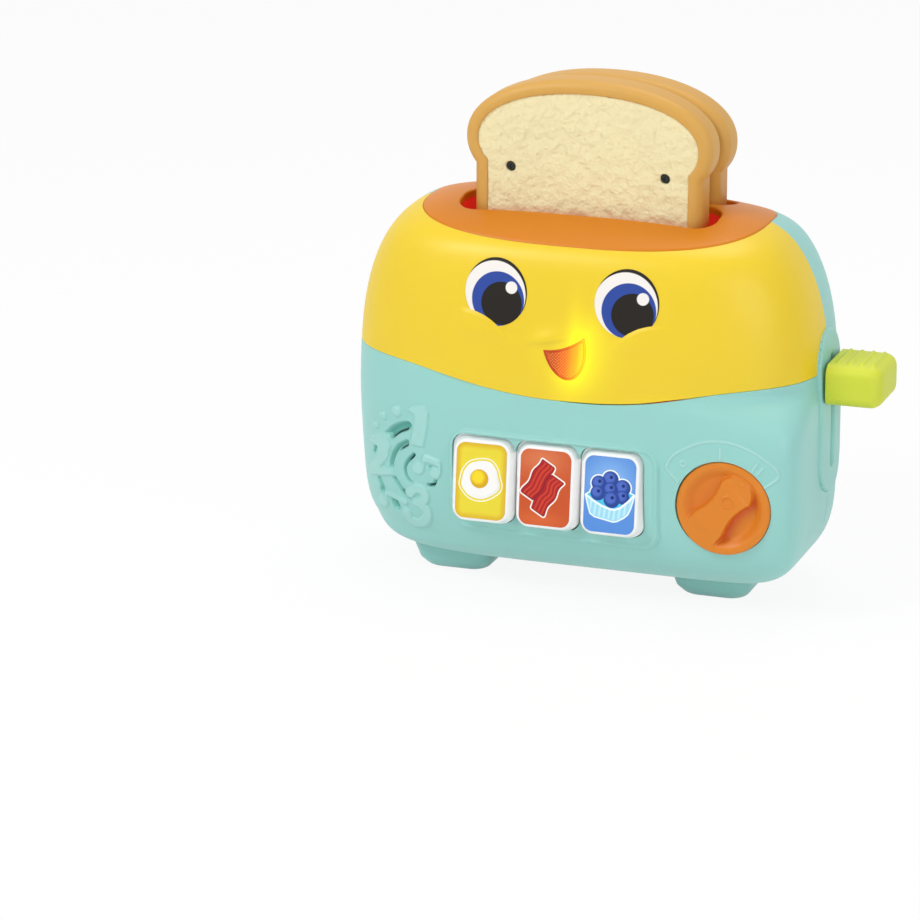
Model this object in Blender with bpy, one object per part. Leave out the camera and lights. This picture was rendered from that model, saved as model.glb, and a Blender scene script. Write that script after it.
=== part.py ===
"""A pretend toaster for a young child, as it would come apart on a bench.

The body is one rounded form, cut into a front shell, a rear shell, a face panel and a top trim.
Inside are the wells, the sprung carriage, the buttons' and the knob's electrics, a speaker and the batteries.
Metres, +Z up, the face looks along -Y, and the lever is on the +X side.
"""

import math

import bmesh
import bpy
from mathutils import Matrix, Vector

# Body form
body_half_width = 0.1100
body_half_depth = 0.0586
widest_height = 0.0676
shoulder_rise = 0.1217
base_drop = 0.0588
plan_power = 3.02
corner_power = 9.0
corner_low_start = 0.0
corner_low_full = 0.0180
corner_high_full = 0.0800
corner_high_end = 0.1050
left_thinning = 0.53
left_thin_full = 0.0360
left_thin_end = 0.0920
left_base_power = 1.6
left_base_full = 0.0090
left_base_end = 0.0260
width_power_above = 3.55
width_power_below = 4.95
depth_power_above = 4.0
depth_power_below = 3.18
crown_height = 0.1806
crown_front_drop = 0.0124
crown_end_drop = 0.0044
crown_power = 1.86
crown_end_power = 2.8
crown_blend = 34
wall = 0.0024
joint_gap = 0.0003
overrun = 0.004

# Seam between the face panel and the front shell
seam_height = 0.0980
seam_rise = 0.0111
seam_middle = 0.0035
seam_spread = 0.0608
seam_power = 2.53

# Top trim and its two slots
slot_end_margin = 0.0495
slot_half_length = body_half_width - slot_end_margin
slot_width = 0.0255
slot_pitch = 0.0285
slot_corner = 0.0090
trim_end_margin = 0.0201
trim_half_width = slot_half_length + trim_end_margin
trim_half_depth = 0.0477
trim_power = 2.78

# Wells under the slots
well_wall = 0.0016
well_floor_height = 0.0800
well_slit_width = 0.0092

# Feet moulded on the shells
foot_end_margin = 0.0621
foot_inner = body_half_width - foot_end_margin
foot_width = 0.0288
foot_half_length = 0.0213
foot_bulge = 0.0034
foot_bulge_height = 0.0045
foot_flare = 0.0060
foot_top_height = 0.0135

# Eyes and mouth
eye_spacing = 0.0612
eye_height = 0.1450
eye_half_width = 0.0147
eye_half_height = 0.0152
eye_sink = 0.0002
eye_thickness = 0.0012
mouth_x = 0.0022
mouth_height = 0.1247
mouth_half_width = 0.0096
mouth_lean = 0.0036
mouth_drop = 0.0162
mouth_drop_shift = 0.0040
mouth_sag = 0.0020
lens_sink = 0.0004
lens_thickness = 0.0014
lamp_radius = 0.0025
lamp_length = 0.0060
lamp_flange = 0.0010
lamp_rim = 0.0004
holder_radius = 0.0085
holder_back = 0.0460
holder_wall = 0.0014
lamp_clearance = 0.0016

# Three buttons in a row
button_pitch = 0.0305
button_row_x = -0.0048
button_height = 0.0577
button_base_width = 0.0300
button_base_height = 0.0406
button_face_width = 0.0262
button_face_height = 0.0368
button_face_depth = 0.0622
button_nose = 0.0050
button_waist_depth = button_face_depth - button_nose
button_length = 0.0145
button_back_depth = button_face_depth - button_length
button_lean = math.radians(6.3)
button_post_reach = 0.0040
button_corner = 0.0062
button_flange = 0.0018
button_flange_reach = 0.0015
button_wall = 0.0020
button_post_radius = 0.0040
button_travel = 0.0020
label_width = 0.0239
label_height = 0.0346
label_corner = 0.0042
label_thickness = 0.0004
label_rise = 0.0002
bezel_reach = 0.0042
bezel_rise = 0.0010

# Button electrics
dome_height = 0.0030
dome_radius = 0.0050
dome_top_radius = 0.0030
dome_sheet = 0.0012
dome_sheet_margin = 0.0010
board_thickness = 0.0016
button_board_width = 0.0830
button_board_height = 0.0640
board_post_radius = 0.0030
board_post_inset = 0.0040

# Mode knob
knob_end_margin = 0.0329
knob_x = body_half_width - knob_end_margin
knob_height = 0.0554
knob_radius = 0.0218
knob_face_depth = 0.0582
knob_thickness = 0.0108
knob_dish = 0.0026
knob_rim = 0.0032
knob_edge = 0.0012
knob_clearance = 0.0006
knob_grip_width = 0.0175
knob_grip_waist = 0.0130
knob_grip_rise = 0.0050
knob_grip_angle = math.radians(49)
knob_seat_wall = 0.0022
knob_shaft_radius = 0.0030
switch_size = 0.0240
switch_depth = 0.0095
switch_socket = 0.0060

# Speaker and its grille
speaker_end_margin = 0.0413
speaker_x = speaker_end_margin - body_half_width
speaker_height = 0.0577
speaker_radius = 0.0172
speaker_front = 0.0425
speaker_rim = 0.0022
speaker_rim_depth = 0.0024
speaker_magnet_radius = 0.0100
speaker_magnet_depth = 0.0060
speaker_basket_depth = 0.0070
speaker_seat_wall = 0.0016
cone_thickness = 0.0006
cone_cap_radius = 0.0050
grille_radii = (0.0076, 0.0136)
grille_slot = 0.0014
grille_arc = math.radians(230)

# Carriage, lever and spring
carriage_floor_height = 0.1322
carriage_floor = 0.0024
carriage_travel = 0.0410
carriage_side_clearance = 0.0030
carriage_tongue_width = 0.0080
crossplate_gap = 0.0030
crossplate_thickness = 0.0030
crossplate_half_width = 0.0200
arm_low = 0.1045
arm_high = 0.1115
arm_half_width = 0.0020
arm_reach_in_knob = 0.0100
rod_end_margin = 0.0260
rod_x = body_half_width - rod_end_margin
rod_y = 0.0105
rod_radius = 0.0020
collar_radius = 0.0052
collar_length = 0.0140
rod_seat_radius = 0.0046
rod_seat_height = 0.0380
rod_seat_depth = 0.0060
rod_top = 0.1400
ear_thickness = 0.0050
spring_radius = 0.0036
spring_wire_radius = 0.0005
spring_turns = 12
spring_points_each_turn = 7

# Lever knob and the plate round its slot
lever_length = 0.0255
lever_half_width = 0.0170
lever_low = 0.0947
lever_high = 0.1137
lever_round = 0.0040
lever_rib_rise = 0.0012
lever_rib_radius = 0.0016
lever_rib_pitch = 0.0060
lever_rib_half_length = 0.0110
plate_half_width = 0.0170
plate_low = 0.0500
plate_high = 0.1265
plate_rise = 0.0018
lever_slot_half_width = 0.0026
lever_slot_low = 0.0622
lever_slot_high = 0.1146

# Catch that holds the carriage down
catch_tab_width = 0.0060
catch_tab_reach = 0.0034
catch_tab_height = 0.0025
catch_y = -0.0100
catch_clearance = 0.0008
hook_thickness = 0.0034
hook_width = 0.0050
hook_nose = 0.0036
hook_nose_height = 0.0028
hook_pivot_height = 0.0300
hook_pin_radius = 0.0012
hook_turn = math.radians(8)
hook_eye_radius = 0.0036
hook_ear_gap = 0.0004
hook_ear_thickness = 0.0024
hook_ear_radius = 0.0036

# Toast slices
slice_thickness = 0.0170
slice_offset = 0.0010
slice_bottom = 0.1325
rear_slice_drop = 0.0032
slice_neck_margin = 0.0070
slice_neck = slot_half_length - slice_neck_margin
slice_shoulder_margin = 0.0025
slice_shoulder = slot_half_length - slice_shoulder_margin
slice_shoulder_height = 0.2072
slice_top_rise = 0.0293
slice_lobe_drop = 0.0290
slice_lobe_power = 2.15
slice_foot_radius = 0.0050
slice_round = 0.0042
crust_rim = 0.0062
crust_ledge = 0.0040
crumb_recess = 0.0010
crumb_thickness = 0.0030
slice_screw_x = 0.0363
slice_screw_height = 0.1946
slice_screw_hole = 0.0024
slice_boss_radius = 0.0042
small_screw_head_radius = 0.0020
small_screw_head = 0.0014
small_screw_radius = 0.0011
small_screw_length = 0.0070
slice_screw_depth = 0.0020

# Batteries, their box and door
cell_radius = 0.00715
cell_length = 0.0502
cell_pitch = 0.0158
cell_count = 3
cell_nub_radius = 0.0027
cell_nub = 0.0012
cell_row_height = 0.0490
cell_row_depth = 0.0422
battery_wall = 0.0022
battery_box_front = 0.0325
contact_gap = 0.0022
contact_thickness = 0.0008
contact_half_width = 0.0060
contact_bump_radius = 0.0024
door_corner = 0.0050
door_block = 0.0100
main_board_width = 0.0560
main_board_height = 0.0400
main_board_standoff = 0.0040

# Screws that hold the shells together
screw_end_margin = 0.0180
screw_x = body_half_width - screw_end_margin
screw_low = 0.0300
screw_high = 0.1280
screw_head_radius = 0.0032
screw_head = 0.0022
screw_radius = 0.0014
screw_length = 0.0130
boss_radius = 0.0052
screw_well_radius = 0.0038
boss_end_wall = 0.0030

pole_share = 0.999
plug_depth_share = 0.8
hook_slope_share = 0.4
lamp_tip_share = 0.4
lamp_shoulder_share = 0.8
lamp_shoulder_drop_share = 0.35
screw_side_share = 0.6
screw_crown_share = 0.7
screw_recess_share = 0.6
screw_blade_share = 0.4

shell_segments = 48
shell_levels_above = 11
shell_levels_below = 7
top_shares = (0.6, 0.15)

# The frame's origin is the middle of the whole part's foot print
right_reach = body_half_width + plate_rise + joint_gap + lever_length
left_reach = body_half_width * math.cos(math.pi / shell_segments) ** (2 / plan_power)
stand_shift_x = (left_reach - right_reach) / 2
front_reach = button_face_depth + label_rise + math.tan(button_lean) * label_height / 2
rear_reach = body_half_depth * math.cos(math.pi / shell_segments) ** (2 / plan_power)
stand_shift_y = (front_reach - rear_reach) / 2

split_half_gap = joint_gap / 2
slot_centres = (-slot_pitch / 2, slot_pitch / 2)


def clear_scene():
    """Removes what the file starts with."""
    for item in list(bpy.data.objects):
        bpy.data.objects.remove(item, do_unlink=True)


def make_stand():
    """An empty that carries every piece, so that the part stands centred on the origin."""
    item = bpy.data.objects.new("stand", None)
    item.location = (stand_shift_x, stand_shift_y, 0)
    bpy.context.collection.objects.link(item)
    return item


def make_material(name, colour, roughness, metallic=0.0):
    """A plain Principled material."""
    material = bpy.data.materials.new(name)
    material.use_nodes = True
    shader = material.node_tree.nodes["Principled BSDF"]
    shader.inputs["Base Color"].default_value = (*colour, 1)
    shader.inputs["Roughness"].default_value = roughness
    shader.inputs["Metallic"].default_value = metallic
    return material


def finish_mesh(item, smooth_angle):
    """Turns every face outwards and shades round stretches smooth."""
    shape = bmesh.new()
    shape.from_mesh(item.data)
    bmesh.ops.recalc_face_normals(shape, faces=shape.faces)
    shape.to_mesh(item.data)
    shape.free()
    item.data.shade_smooth()
    item.data.set_sharp_from_angle(angle=smooth_angle)


def add_object(name, vertices, faces, material=None, place=(0, 0, 0)):
    """A mesh object under the stand. Without a material it is a tool for cutting or joining."""
    mesh = bpy.data.meshes.new(name)
    mesh.from_pydata([tuple(v) for v in vertices], [], faces)
    item = bpy.data.objects.new(name, mesh)
    bpy.context.collection.objects.link(item)
    item.parent = stand
    item.location = place
    finish_mesh(item, math.radians(35))
    if material:
        mesh.materials.append(material)
    else:
        item.hide_render = True
        item.display_type = "WIRE"
    return item


def join_by(item, operation, tool):
    """A live exact Boolean with the tool."""
    modifier = item.modifiers.new(operation.lower(), "BOOLEAN")
    modifier.operation = operation
    modifier.solver = "EXACT"
    modifier.object = tool
    return item


def cut(item, *tools):
    """Takes the tools away from the item."""
    for tool in tools:
        join_by(item, "DIFFERENCE", tool)
    return item


def fuse(item, *tools):
    """Joins the tools to the item."""
    for tool in tools:
        join_by(item, "UNION", tool)
    return item


def keep(item, *tools):
    """Keeps what of the item lies inside each tool."""
    for tool in tools:
        join_by(item, "INTERSECT", tool)
    return item


def loft(name, rings, material=None, place=(0, 0, 0)):
    """A closed solid through rings with the same number of points, with flat ends."""
    count = len(rings[0])
    vertices = [point for ring in rings for point in ring]
    faces = [list(range(count))]
    for level in range(len(rings) - 1):
        low = level * count
        high = low + count
        for i in range(count):
            j = (i + 1) % count
            faces.append([low + i, low + j, high + j, high + i])
    last = (len(rings) - 1) * count
    faces.append([last + i for i in reversed(range(count))])
    return add_object(name, vertices, faces, material, place)


def prism(name, outline, axis, start, end, material=None, place=(0, 0, 0)):
    """An outline of two coordinates, extruded along the axis from start to end."""
    rings = []
    for level in (start, end):
        if axis == "x":
            rings.append([(level, p, q) for p, q in outline])
        elif axis == "y":
            rings.append([(p, level, q) for p, q in outline])
        else:
            rings.append([(p, q, level) for p, q in outline])
    return loft(name, rings, material, place)


def block(name, low, high, material=None):
    """A box between two corners."""
    outline = [(low[0], low[1]), (high[0], low[1]), (high[0], high[1]), (low[0], high[1])]
    return prism(name, outline, "z", low[2], high[2], material)


def circle(centre, radius, sides=24):
    """The points of a circle in the plane of an outline."""
    points = []
    for i in range(sides):
        turn = math.tau * i / sides
        points.append((centre[0] + radius * math.cos(turn), centre[1] + radius * math.sin(turn)))
    return points


def rounded_box(centre, half_width, half_height, radius, steps=4):
    """A rectangle with round corners, as an outline."""
    points = []
    corners = ((1, 1, 0), (-1, 1, 1), (-1, -1, 2), (1, -1, 3))
    for side, rise, quarter in corners:
        mid_x = centre[0] + side * (half_width - radius)
        mid_y = centre[1] + rise * (half_height - radius)
        for i in range(steps + 1):
            turn = math.pi / 2 * (quarter + i / steps)
            points.append((mid_x + radius * math.cos(turn), mid_y + radius * math.sin(turn)))
    return points


def turned(name, profile, axis, place, material=None, sides=24):
    """A solid turned about the axis. The profile lists a radius and a distance along the axis."""
    rings = []
    for radius, distance in profile:
        ring = []
        for i in range(sides):
            turn = math.tau * i / sides
            p = radius * math.cos(turn)
            q = radius * math.sin(turn)
            if axis == "x":
                ring.append((distance, p, q))
            elif axis == "y":
                ring.append((p, distance, q))
            else:
                ring.append((p, q, distance))
        rings.append(ring)
    return loft(name, rings, material, place)


def rod(name, axis, centre, radius, start, end, material=None, sides=24):
    """A plain cylinder along an axis. The centre gives the two other coordinates."""
    return prism(name, circle(centre, radius, sides), axis, start, end, material)


def signed_power(value, power):
    return math.copysign(abs(value) ** power, value)


def section(height, inset):
    """The body's half width and half depth at a height, with its surface moved in by the inset."""
    rise = height - widest_height
    reach = (shoulder_rise if rise > 0 else base_drop) - inset
    share = min(abs(rise) / reach, 1)
    width_power = width_power_above if rise > 0 else width_power_below
    depth_power = depth_power_above if rise > 0 else depth_power_below
    half_width = (body_half_width - inset) * (1 - share ** width_power) ** (1 / width_power)
    half_depth = (body_half_depth - inset) * (1 - share ** depth_power) ** (1 / depth_power)
    return half_width, half_depth


def crown(x, y, inset):
    """The height of the domed top over a point."""
    front = (abs(y) / trim_half_depth) ** crown_power
    end = (abs(x) / trim_half_width) ** crown_end_power
    return crown_height - crown_front_drop * front - crown_end_drop * end - inset


def smooth_step(value, start, end):
    share = min(max((value - start) / (end - start), 0), 1)
    return share * share * (3 - 2 * share)


def corner_share(height):
    """How far the front right corner is filled out at a height, for the dial."""
    rising = smooth_step(height, corner_low_start, corner_low_full)
    return rising * (1 - smooth_step(height, corner_high_full, corner_high_end))


def under_dome(point, share, inset):
    """Whether a point, at a share of the way out to the plain form, lies under the dome blended into it."""
    rise = max(point.z - widest_height, 0)
    room = crown(point.x, point.y, inset) - widest_height
    return share ** crown_blend + (rise / room) ** crown_blend <= 1


def under_crown(point, inset):
    """The point drawn towards the body's middle until it lies under the domed top."""
    middle = Vector((0, 0, widest_height))
    if point.z <= widest_height:
        return point
    inside, outside = 0.0, 1.0
    for _ in range(30):
        share = (inside + outside) / 2
        if under_dome(middle.lerp(point, share), share, inset):
            inside = share
        else:
            outside = share
    return middle.lerp(point, inside)


def power_at(height, x_share, y_share):
    """The power of the body's plan: fuller at the front right, slimmer at the front left under the face."""
    if y_share > 0:
        return plan_power
    if x_share > 0:
        return plan_power + corner_power * corner_share(height)
    thinning = left_thinning * (1 - smooth_step(height, left_thin_full, left_thin_end))
    return plan_power - thinning + left_base_power * (1 - smooth_step(height, left_base_full, left_base_end))


def body_form(name, inset):
    """The whole body's outer form as one solid, moved in by the inset."""
    below = shell_levels_below
    above = shell_levels_above
    segments = shell_segments
    shares = [-math.sin(math.pi / 2 * (1 - i / below)) for i in range(below)]
    shares += [math.sin(math.pi / 2 * i / above) for i in range(above + 1)]
    shares[0] = -pole_share
    shares[-1] = pole_share
    rings = []
    for share in shares:
        reach = (shoulder_rise if share > 0 else base_drop) - inset
        height = widest_height + share * reach
        half_width, half_depth = section(height, inset)
        ring = []
        for i in range(segments):
            turn = math.tau * (i + 0.5) / segments
            x_share = math.cos(turn)
            y_share = math.sin(turn)
            power = power_at(height, x_share, y_share)
            x = half_width * signed_power(x_share, 2 / power)
            y = half_depth * signed_power(y_share, 2 / power)
            ring.append(under_crown(Vector((x, y, height)), inset))
        rings.append(ring)
    last = rings[-1]
    for share in top_shares:
        rings.append([(p.x * share, p.y * share, crown(p.x * share, p.y * share, inset)) for p in last])
    return loft(name, rings)


def seam_line(shift):
    """The seam's height across the front, as points from left to right."""
    points = []
    reach = body_half_width + overrun
    steps = 24
    for i in range(steps + 1):
        x = -reach + 2 * reach * i / steps
        fall = math.exp(-(abs(x - seam_middle) / seam_spread) ** seam_power)
        points.append((x, seam_height + seam_rise * (1 - fall) + shift))
    return points


def region(name, low_line, high, front, back):
    """A tool that spans the body's width, from a line of heights up to a height."""
    outline = low_line + [(low_line[-1][0], high), (low_line[0][0], high)]
    return prism(name, outline, "y", front, back)


def trim_outline(grow):
    """The outline of the top trim, seen from above."""
    points = []
    steps = 48
    for i in range(steps):
        turn = math.tau * (i + 0.5) / steps
        x = (trim_half_width + grow) * signed_power(math.cos(turn), 2 / trim_power)
        y = (trim_half_depth + grow) * signed_power(math.sin(turn), 2 / trim_power)
        points.append((x, y))
    return points


def mouth_outline(grow):
    """An open smile that leans to the right: half an oval under a sagging lip."""
    wide = 1 + grow / mouth_half_width
    deep = 1 + grow / mouth_drop
    points = []
    steps = 18
    for i in range(steps + 1):
        turn = math.pi * i / steps
        across = -math.cos(turn) * wide
        down = math.sin(turn) * deep
        x = mouth_x + mouth_half_width * across + mouth_drop_shift * down
        points.append((x, mouth_height + mouth_lean * across - mouth_drop * down + grow * abs(across)))
    lip_steps = 8
    for i in range(1, lip_steps):
        across = 1 - 2 * i / lip_steps
        sag = mouth_sag * (1 - across * across)
        points.append((mouth_x + mouth_half_width * across, mouth_height + mouth_lean * across - sag + grow))
    return points


def toast_outline(inset, offset=slice_offset):
    """A slice of bread seen from the front: straight sides under a wide round top."""
    neck = slice_neck - inset
    shoulder = slice_shoulder - inset
    rise = slice_top_rise - inset
    drop = slice_lobe_drop - inset
    bottom = slice_bottom + inset
    radius = slice_foot_radius
    start = math.acos((neck / shoulder) ** (slice_lobe_power / 2))
    steps = 24
    points = []
    for i in range(steps + 1):
        turn = -start + (math.pi + 2 * start) * i / steps
        x = shoulder * signed_power(math.cos(turn), 2 / slice_lobe_power)
        height = rise if math.sin(turn) > 0 else drop
        z = slice_shoulder_height + height * signed_power(math.sin(turn), 2 / slice_lobe_power)
        points.append((offset + x, z))
    for side, quarter in ((-1, 2), (1, 3)):
        for i in range(5):
            turn = math.pi / 2 * (quarter + i / 4)
            x = side * (neck - radius) + radius * math.cos(turn)
            points.append((offset + x, bottom + radius + radius * math.sin(turn)))
    return points


def make_materials():
    """One material for each finish."""
    return {
        "turquoise": make_material("turquoise_plastic", (0.34, 0.63, 0.59), 0.38),
        "yellow": make_material("yellow_plastic", (0.87, 0.63, 0.03), 0.35),
        "orange": make_material("orange_plastic", (0.74, 0.26, 0.03), 0.38),
        "red": make_material("red_plastic", (0.47, 0.02, 0.03), 0.45),
        "lime": make_material("lime_plastic", (0.66, 0.71, 0.04), 0.45),
        "white": make_material("white_plastic", (0.86, 0.86, 0.87), 0.3),
        "eye": make_material("eye_plastic", (0.89, 0.84, 0.76), 0.25),
        "amber": make_material("amber_lens", (0.80, 0.24, 0.01), 0.15),
        "label_yellow": make_material("label_yellow", (0.84, 0.70, 0.08), 0.35),
        "label_orange": make_material("label_orange", (0.57, 0.09, 0.03), 0.35),
        "label_blue": make_material("label_blue", (0.12, 0.32, 0.72), 0.35),
        "crust": make_material("crust_plastic", (0.64, 0.36, 0.08), 0.5),
        "crumb": make_material("crumb_plastic", (0.86, 0.73, 0.36), 0.6),
        "grey": make_material("grey_plastic", (0.30, 0.31, 0.32), 0.5),
        "board": make_material("circuit_board", (0.03, 0.20, 0.08), 0.45),
        "steel": make_material("steel", (0.55, 0.55, 0.56), 0.3, 1.0),
        "rubber": make_material("silicone_rubber", (0.55, 0.56, 0.56), 0.6),
        "paper": make_material("speaker_paper", (0.03, 0.03, 0.03), 0.8),
        "cell": make_material("cell_jacket", (0.05, 0.16, 0.36), 0.35),
    }


def screw_places():
    """The four shell screws, seen from behind."""
    places = []
    for side in (-1, 1):
        for height in (screw_low, screw_high):
            places.append((side * screw_x, height))
    return places


def foot_tools():
    """A flared foot on each side, along the whole length of the base."""
    tools = []
    for side in (-1, 1):
        middle = side * (foot_inner + foot_width / 2)
        rings = []
        for height, flare in ((0, 0), (foot_bulge_height, foot_bulge), (foot_top_height, foot_flare)):
            half_width = foot_width / 2 + flare
            half_length = foot_half_length + flare
            outline = rounded_box((middle, 0), half_width, half_length, foot_flare, 2)
            rings.append([(x, y, height) for x, y in outline])
        tools.append(loft(f"foot_tool_{'left' if side < 0 else 'right'}", rings))
    return tools


def boss_tools(front):
    """The screw pillars of one shell, ended inside its wall."""
    tools = []
    within = body_form(f"boss_limit_{'front' if front else 'rear'}", wall / 2)
    sign = -1 if front else 1
    for x, height in screw_places():
        name = f"boss_tool_{'front' if front else 'rear'}_{'left' if x < 0 else 'right'}_{height * 1000:.0f}"
        tool = rod(name, "y", (x, height), boss_radius, sign * split_half_gap, sign * body_half_depth,
                   sides=20)
        tools.append(keep(tool, within))
    return tools


def screw_bores(front):
    """The pilot bores of the front pillars, or the wells and through holes of the rear ones."""
    tools = []
    for x, height in screw_places():
        end = f"{'left' if x < 0 else 'right'}_{height * 1000:.0f}"
        if front:
            depth = screw_length - boss_end_wall + overrun
            tools.append(rod(f"pilot_{end}", "y", (x, height), screw_radius + joint_gap, -depth, overrun,
                             sides=16))
        else:
            hole = screw_radius + joint_gap
            tools.append(rod(f"through_{end}", "y", (x, height), hole, -overrun, boss_end_wall + overrun,
                             sides=16))
            far = body_half_depth + overrun
            tools.append(rod(f"well_{end}", "y", (x, height), screw_well_radius, boss_end_wall, far,
                             sides=20))
    return tools


def make_shared_tools():
    """The forms that several pieces are cut from or by."""
    far = body_half_width + lever_length
    tools = {
        "inner": body_form("inner_form", wall),
        "inside": body_form("inside_form", wall + joint_gap),
        "trim_hole": prism("trim_hole", trim_outline(split_half_gap), "z", plate_high,
                           crown_height + overrun),
        "trim_core": prism("trim_core", trim_outline(-split_half_gap), "z", plate_high,
                           crown_height + overrun),
        "front_half": block("front_half", (-far, -far, -overrun),
                            (far, -split_half_gap, crown_height + overrun)),
        "rear_half": block("rear_half", (-far, split_half_gap, -overrun), (far, far, crown_height + overrun)),
        "above_seam": region("above_seam", seam_line(split_half_gap), crown_height + overrun, -far, far),
        "seam_up": region("seam_up", seam_line(-split_half_gap), crown_height + overrun, -far, far),
    }
    middle = (plate_low + plate_high) / 2
    half_height = (plate_high - plate_low) / 2
    hole = rounded_box((0, middle), plate_half_width + joint_gap, half_height + joint_gap, plate_half_width,
                       6)
    tools["plate_hole"] = prism("plate_hole", hole, "x", rod_x, far)
    core = rounded_box((0, middle), plate_half_width, half_height, plate_half_width, 6)
    tools["plate_core"] = prism("plate_core", core, "x", rod_x, far)
    return tools


def knob_seat_tools():
    """The round pocket of the dial: a cup behind the shell's wall, its hollow and the shaft's bore."""
    floor = -(knob_face_depth - knob_thickness - joint_gap)
    place = (knob_x, 0, knob_height)
    seat_radius = knob_radius + knob_clearance
    cup_radius = seat_radius + knob_seat_wall
    cup = turned("knob_cup", [(cup_radius, -body_half_depth), (cup_radius, floor + knob_seat_wall)], "y",
                 place, sides=40)
    keep(cup, body_form("knob_cup_limit", wall / 2))
    seat = turned("knob_seat", [(seat_radius, -far_front()), (seat_radius, floor)], "y", place, sides=40)
    bore_radius = knob_shaft_radius + joint_gap
    bore = turned("knob_bore", [(bore_radius, -far_front()), (bore_radius, 0)], "y", place, sides=20)
    return cup, seat, bore


def far_front():
    return body_half_depth + 5 * overrun


def button_window():
    """The opening for the three caps."""
    half_width = button_pitch + button_base_width / 2 + joint_gap
    half_height = button_base_height / 2 + joint_gap
    outline = rounded_box((button_row_x, button_height), half_width, half_height, button_corner)
    return prism("button_window", outline, "y", -far_front(), -button_back_depth + overrun)


def bezel_tool():
    """The low round-cornered rim round the window."""
    half_width = button_pitch + button_base_width / 2 + bezel_reach
    half_height = button_base_height / 2 + bezel_reach
    outline = rounded_box((button_row_x, button_height), half_width, half_height, button_corner + bezel_reach)
    tool = prism("bezel_tool", outline, "y", -far_front(), -button_back_depth)
    return keep(tool, body_form("bezel_limit", -bezel_rise))


def speaker_seat_tools():
    """A ring inside the front shell that holds the speaker."""
    radius = speaker_radius + joint_gap + speaker_seat_wall
    within = body_form("speaker_limit", wall / 2)
    place = (speaker_x, 0, speaker_height)
    ring = turned("speaker_seat", [(radius, -body_half_depth), (radius, -speaker_front + speaker_rim_depth)],
                  "y", place, sides=32)
    keep(ring, within)
    inner = speaker_radius - speaker_rim
    bore = turned("speaker_bore", [(inner, -body_half_depth), (inner, 0)], "y", place, sides=32)
    keep(bore, body_form("speaker_bore_limit", wall))
    radius = speaker_radius + joint_gap
    step = turned("speaker_step", [(radius, -speaker_front - joint_gap), (radius, 0)], "y", place, sides=32)
    return ring, bore, step


def grille_tools():
    """Curved sound slots in rings about the speaker's axis."""
    tools = []
    for index, radius in enumerate(grille_radii):
        steps = 14
        turns = [math.pi - grille_arc / 2 + grille_arc * i / steps for i in range(steps + 1)]
        outer = [((radius + grille_slot / 2) * math.cos(t),
                  (radius + grille_slot / 2) * math.sin(t)) for t in turns]
        inner = [((radius - grille_slot / 2) * math.cos(t),
                  (radius - grille_slot / 2) * math.sin(t)) for t in turns]
        outline = [(speaker_x + p, speaker_height + q) for p, q in outer + inner[::-1]]
        tools.append(prism(f"grille_slot_{index}", outline, "y", -far_front(), -speaker_front))
    return tools


def button_board_posts():
    """Pillars on the front shell that the buttons' board sits on."""
    tools = []
    within = body_form("post_limit", wall / 2)
    front, _ = button_board_planes()
    for x, height in button_board_post_places():
        name = f"board_post_{'left' if x < button_row_x else 'right'}_{'low' if height < button_height else 'high'}"
        tool = rod(name, "y", (x, height), board_post_radius, -body_half_depth, front - joint_gap, sides=16)
        tools.append(keep(tool, within))
    return tools


def button_board_post_places():
    half_width = button_board_width / 2 - board_post_inset
    half_height = button_board_height / 2 - board_post_inset
    places = []
    for side in (-1, 1):
        for rise in (-1, 1):
            places.append((button_row_x + side * half_width, button_height + rise * half_height))
    return places


def button_board_planes():
    """The front and back planes of the buttons' board."""
    post_end = -button_back_depth + button_post_reach
    dome_front = post_end + button_travel + joint_gap
    front = dome_front + dome_height + dome_sheet + joint_gap
    return front, front + board_thickness


def show(item, material):
    """Makes a tool into one of the part's own pieces."""
    item.data.materials.append(material)
    item.hide_render = False
    item.display_type = "TEXTURED"
    return item


def make_front_shell(tools, material):
    """The turquoise lower front, with the knob's seat, the buttons' window and the grille."""
    shell = show(body_form("front_shell", 0), material)
    cup, seat, bore = knob_seat_tools()
    ring, speaker_bore, speaker_step = speaker_seat_tools()
    fuse(shell, *foot_tools(), bezel_tool())
    cut(shell, tools["inner"])
    fuse(shell, *boss_tools(True), *button_board_posts(), ring, cup, hook_stand())
    cut(shell, seat, bore, speaker_bore, speaker_step, hook_gap(), hook_pin_bore())
    keep(shell, tools["front_half"])
    cut(shell, tools["seam_up"], tools["plate_hole"], button_window())
    cut(shell, *screw_bores(True), *grille_tools())
    return shell


def hook_stand():
    """A pillar on the front shell's floor that carries the catch."""
    half_length = hook_width / 2 + hook_ear_gap + hook_ear_thickness
    floor = widest_height - base_drop + wall
    steps = 8
    outline = []
    for i in range(steps + 1):
        turn = math.pi * i / steps
        x = hook_pivot_x() + hook_ear_radius * math.cos(turn)
        outline.append((x, hook_pivot_height + hook_ear_radius * math.sin(turn)))
    outline += [(hook_pivot_x() - hook_ear_radius, floor), (hook_pivot_x() + hook_ear_radius, floor)]
    return prism("hook_stand", outline, "y", catch_y - half_length, catch_y + half_length)


def hook_gap():
    """The space between the pillar's two ears, in which the catch turns."""
    half_length = hook_width / 2 + hook_ear_gap
    reach = hook_eye_radius + hook_ear_gap
    low = (hook_pivot_x() - 2 * reach, catch_y - half_length, hook_pivot_height - reach)
    high = (hook_pivot_x() + 2 * reach, catch_y + half_length, hook_pivot_height + 2 * reach)
    return block("hook_gap", low, high)


def hook_pin_bore():
    half_length = hook_width / 2 + hook_ear_gap + hook_ear_thickness
    centre = (hook_pivot_x(), hook_pivot_height)
    radius = hook_pin_radius + joint_gap
    return rod("hook_pin_bore", "y", centre, radius, catch_y - half_length - overrun,
               catch_y + half_length + overrun,
               sides=16)


def crossplate_start():
    return slot_half_length + well_wall + crossplate_gap


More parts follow.
